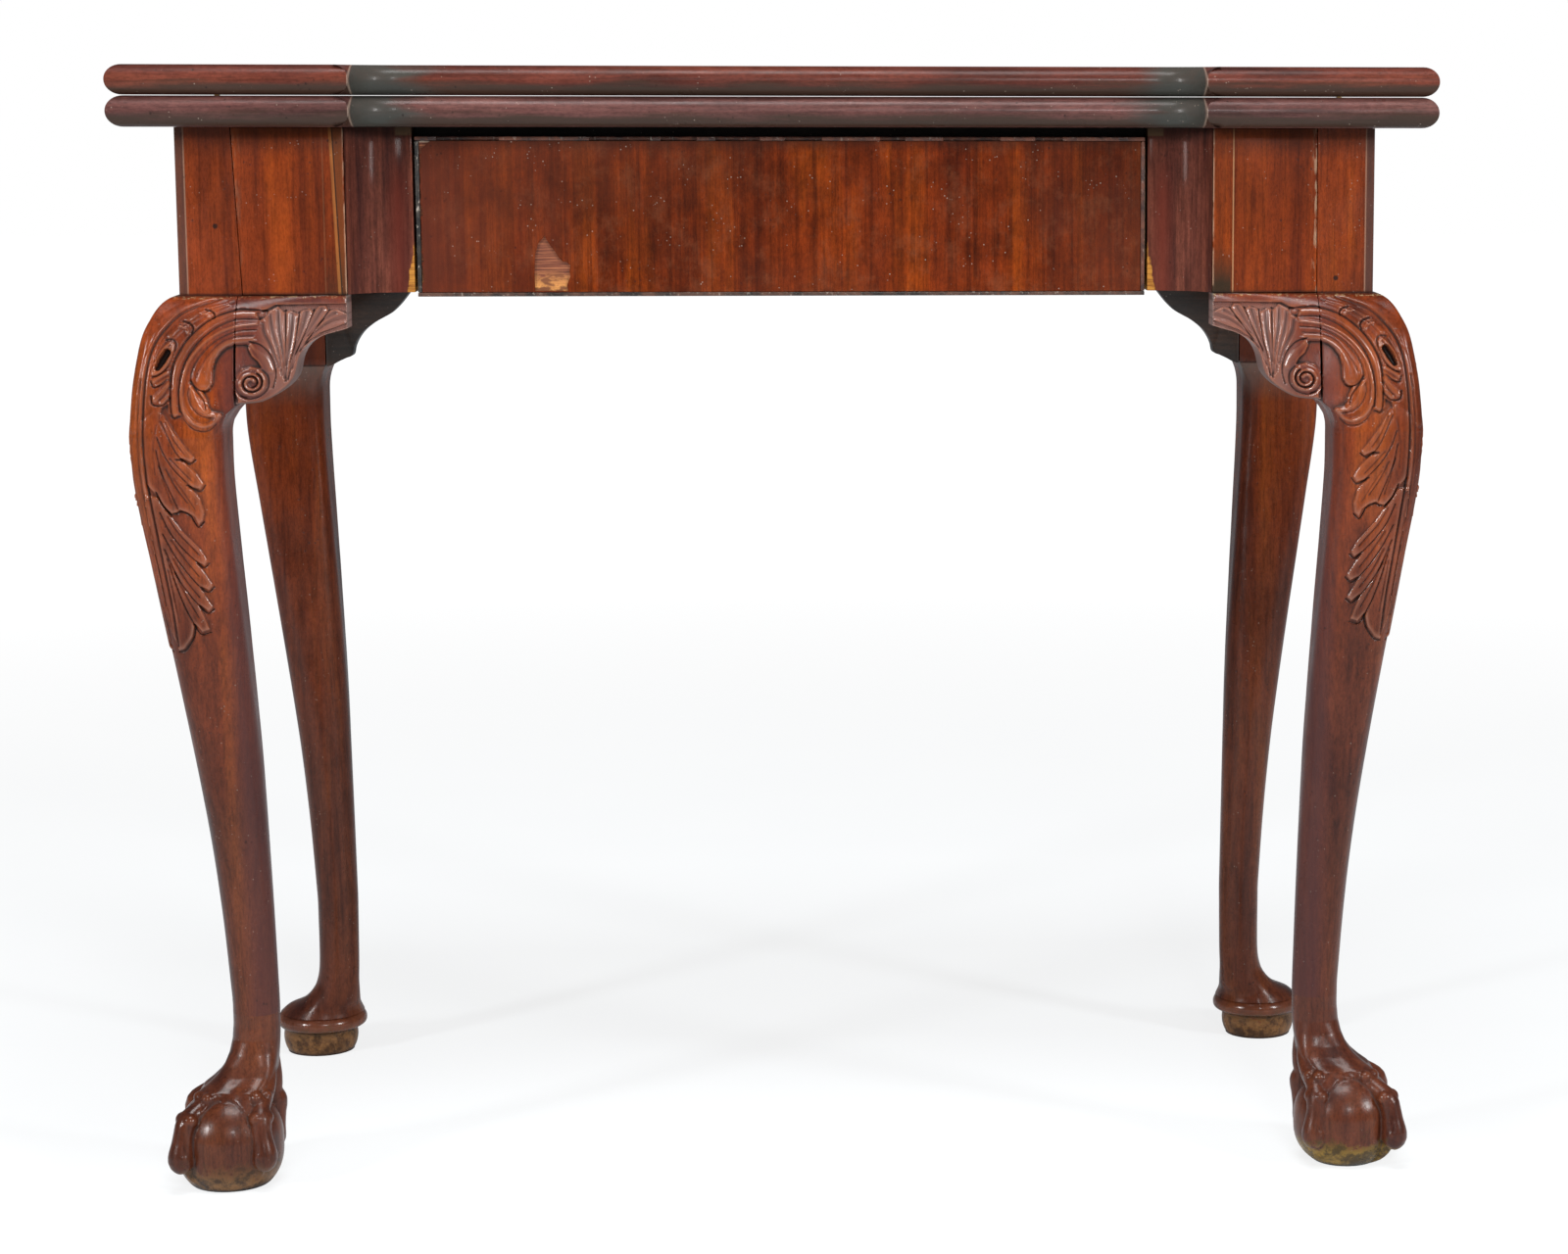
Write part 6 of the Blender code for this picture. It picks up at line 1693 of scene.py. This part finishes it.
def make_cheek(word, side):
    outline = [(side * (BLOCK_X - SEAT), BLOCK_REAR_Y)]
    inner_edge = BLOCK_X - CHEEK_X
    for turn in np.linspace(0, math.pi / 2, 41):
        x = BLOCK_X - inner_edge * (1 - math.cos(turn))
        outline.append((side * (x - SEAT * math.cos(turn)), FRIEZE_FRONT_Y + RECESS * math.sin(turn)))
    outline.append((side * CHEEK_X, BLOCK_REAR_Y))
    cheek = prism(f"hollow_cheek_{word}_veneered", outline, 2, FRIEZE_BOTTOM, FRIEZE_TOP)
    bevel_edges(cheek, 0.0003, 2)
    smooth(cheek, 35)
    finish_piece(cheek, "frame", CHEEK_VENEER, [f"hollow_cheek_{word}"])


# Lost veneer, in millimetres across from the patch's left side and up from its foot
LOST_PATCH = [
    (0, 0), (-0.2, 11), (0.3, 22.5), (2.4, 30.7), (4.2, 32.6), (5.8, 34.4), (6.8, 35.7), (7.6, 33.8),
    (9.4, 31.0), (11, 28.4), (13.4, 25.4), (15.4, 21.8), (18, 19.2), (20.6, 18.6), (23, 16.8),
    (22.4, 12.6), (22.9, 9.3), (21.6, 6.4), (20.6, 3.8), (21.2, 0),
]
# Lost upper left corner, in millimetres inwards and up from it
LOST_CORNER = [(-1, 1), (-1, -6), (3, -4.2), (5.5, -1.2), (9, 1)]
LOST_STEPS = 9
PATCH_LEFT_X = -0.1612
PATCH_FOOT = 0.0007
# Lost bits of the top edging: from and to, as millimetres across from the left end
TOP_GAPS = [(14, 54), (112, 151), (158, 181), (193, 222), (238, 262), (300, 316), (341, 378), (401, 419)]


def make_drawer_front():
    low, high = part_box("drawer_veneer")
    veneer = add_box("drawer_front_veneer", low, high)
    before, behind = low.y - MM, high.y + MM
    foot = low.z + PATCH_FOOT
    hole = [(PATCH_LEFT_X + across * MM, foot + up * MM) for across, up in LOST_PATCH]
    combine(veneer, prism("cut", hole, 1, before, behind))
    ragged = np.random.default_rng(7)
    # the veneer's left end is broken away in small steps
    for place in np.linspace(0.012, 0.094, LOST_STEPS):
        depth, reach = ragged.uniform(0.0004, 0.0016), ragged.uniform(0.003, 0.008)
        middle = low.z + place
        corners = [
            (low.x - MM, middle - reach), (low.x + depth, middle - reach * 0.6),
            (low.x + depth * 0.7, middle + reach * 0.5), (low.x - MM, middle + reach),
        ]
        combine(veneer, prism("cut", corners, 1, before, behind))
    corner = [(low.x + across * MM, high.z + up * MM) for across, up in LOST_CORNER]
    combine(veneer, prism("cut", corner, 1, before, behind))
    bevel_edges(veneer, 0.00015, 1)
    smooth(veneer, 30)
    finish_piece(veneer, "drawer", DRAWER_VENEER, ["drawer_veneer"])
    for word in ("top", "bottom", "left", "right"):
        low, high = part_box(f"cockbead_{word}")
        bead = add_box(f"cockbead_{word}_worn", low, high)
        if word == "top":
            for start, end in TOP_GAPS:
                first, last = low.x + start * MM, low.x + end * MM
                gap = add_box("cut", (first, low.y - MM, low.z - MM), (last, low.y + 3 * MM, high.z + MM))
                combine(bead, gap)
        bevel_edges(bead, 0.0004, 3)
        smooth(bead, 40)
        finish_piece(bead, "drawer", BEAD_WOODS[word], [f"cockbead_{word}"])


# Shares of a rear bracket's length and height along its lower edge
REAR_BRACKET_EDGE = [
    (0, 1), (0.05, 0.99), (0.12, 0.95), (0.20, 0.91), (0.255, 0.885), (0.275, 0.80), (0.31, 0.72),
    (0.365, 0.64), (0.43, 0.58), (0.50, 0.53), (0.58, 0.485), (0.65, 0.44), (0.73, 0.36), (0.80, 0.27),
    (0.87, 0.17), (0.93, 0.09), (0.97, 0.05), (1, 0.035),
]


def make_rear_bracket(word, body, side):
    low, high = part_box(f"rear_bracket_{word}")
    inner, outer = sorted((low.x, high.x), key=abs)
    outline = [(outer, high.z)]
    for along, drop in smooth_line(REAR_BRACKET_EDGE, 0.02):
        drop = (high.z - low.z) * min(drop, 1)
        outline.append((outer + (inner - outer) * min(along, 1), high.z - drop))
    outline.append((inner, high.z))
    bracket = prism(f"rear_bracket_{word}_sawn", outline, 1, low.y, high.y)
    bevel_edges(bracket, 0.0006, 2)
    smooth(bracket, 35)
    finish_piece(bracket, body, SHADED_WOOD, [f"rear_bracket_{word}"])


def make_top():
    make_leaf("lower_leaf", "frame")
    make_leaf("upper_leaf", "upper_leaf")


def make_legs():
    for word, side in SIDES.items():
        carve_front_leg(word, side)
        make_claw_foot(word, side)
        carve_bracket(word, side, False)
        carve_bracket(word, side, True)
    for name, body, side in (("rear_leg_fixed", "frame", 1), ("rear_leg_gate", "gate", -1)):
        make_rear_leg(name, body, side)
        make_pad_foot(f"{name}_pad", body, side)


def make_frieze():
    for word, side in SIDES.items():
        make_block(word, side)
        make_cheek(word, side)
    make_drawer_front()
    make_rear_bracket("fixed", "frame", 1)
    make_rear_bracket("gate", "gate", -1)


add_camera()
add_studio()
dress_nodes()
make_top()
make_legs()
make_frieze()

bpy.context.scene.view_settings.view_transform = "Standard"
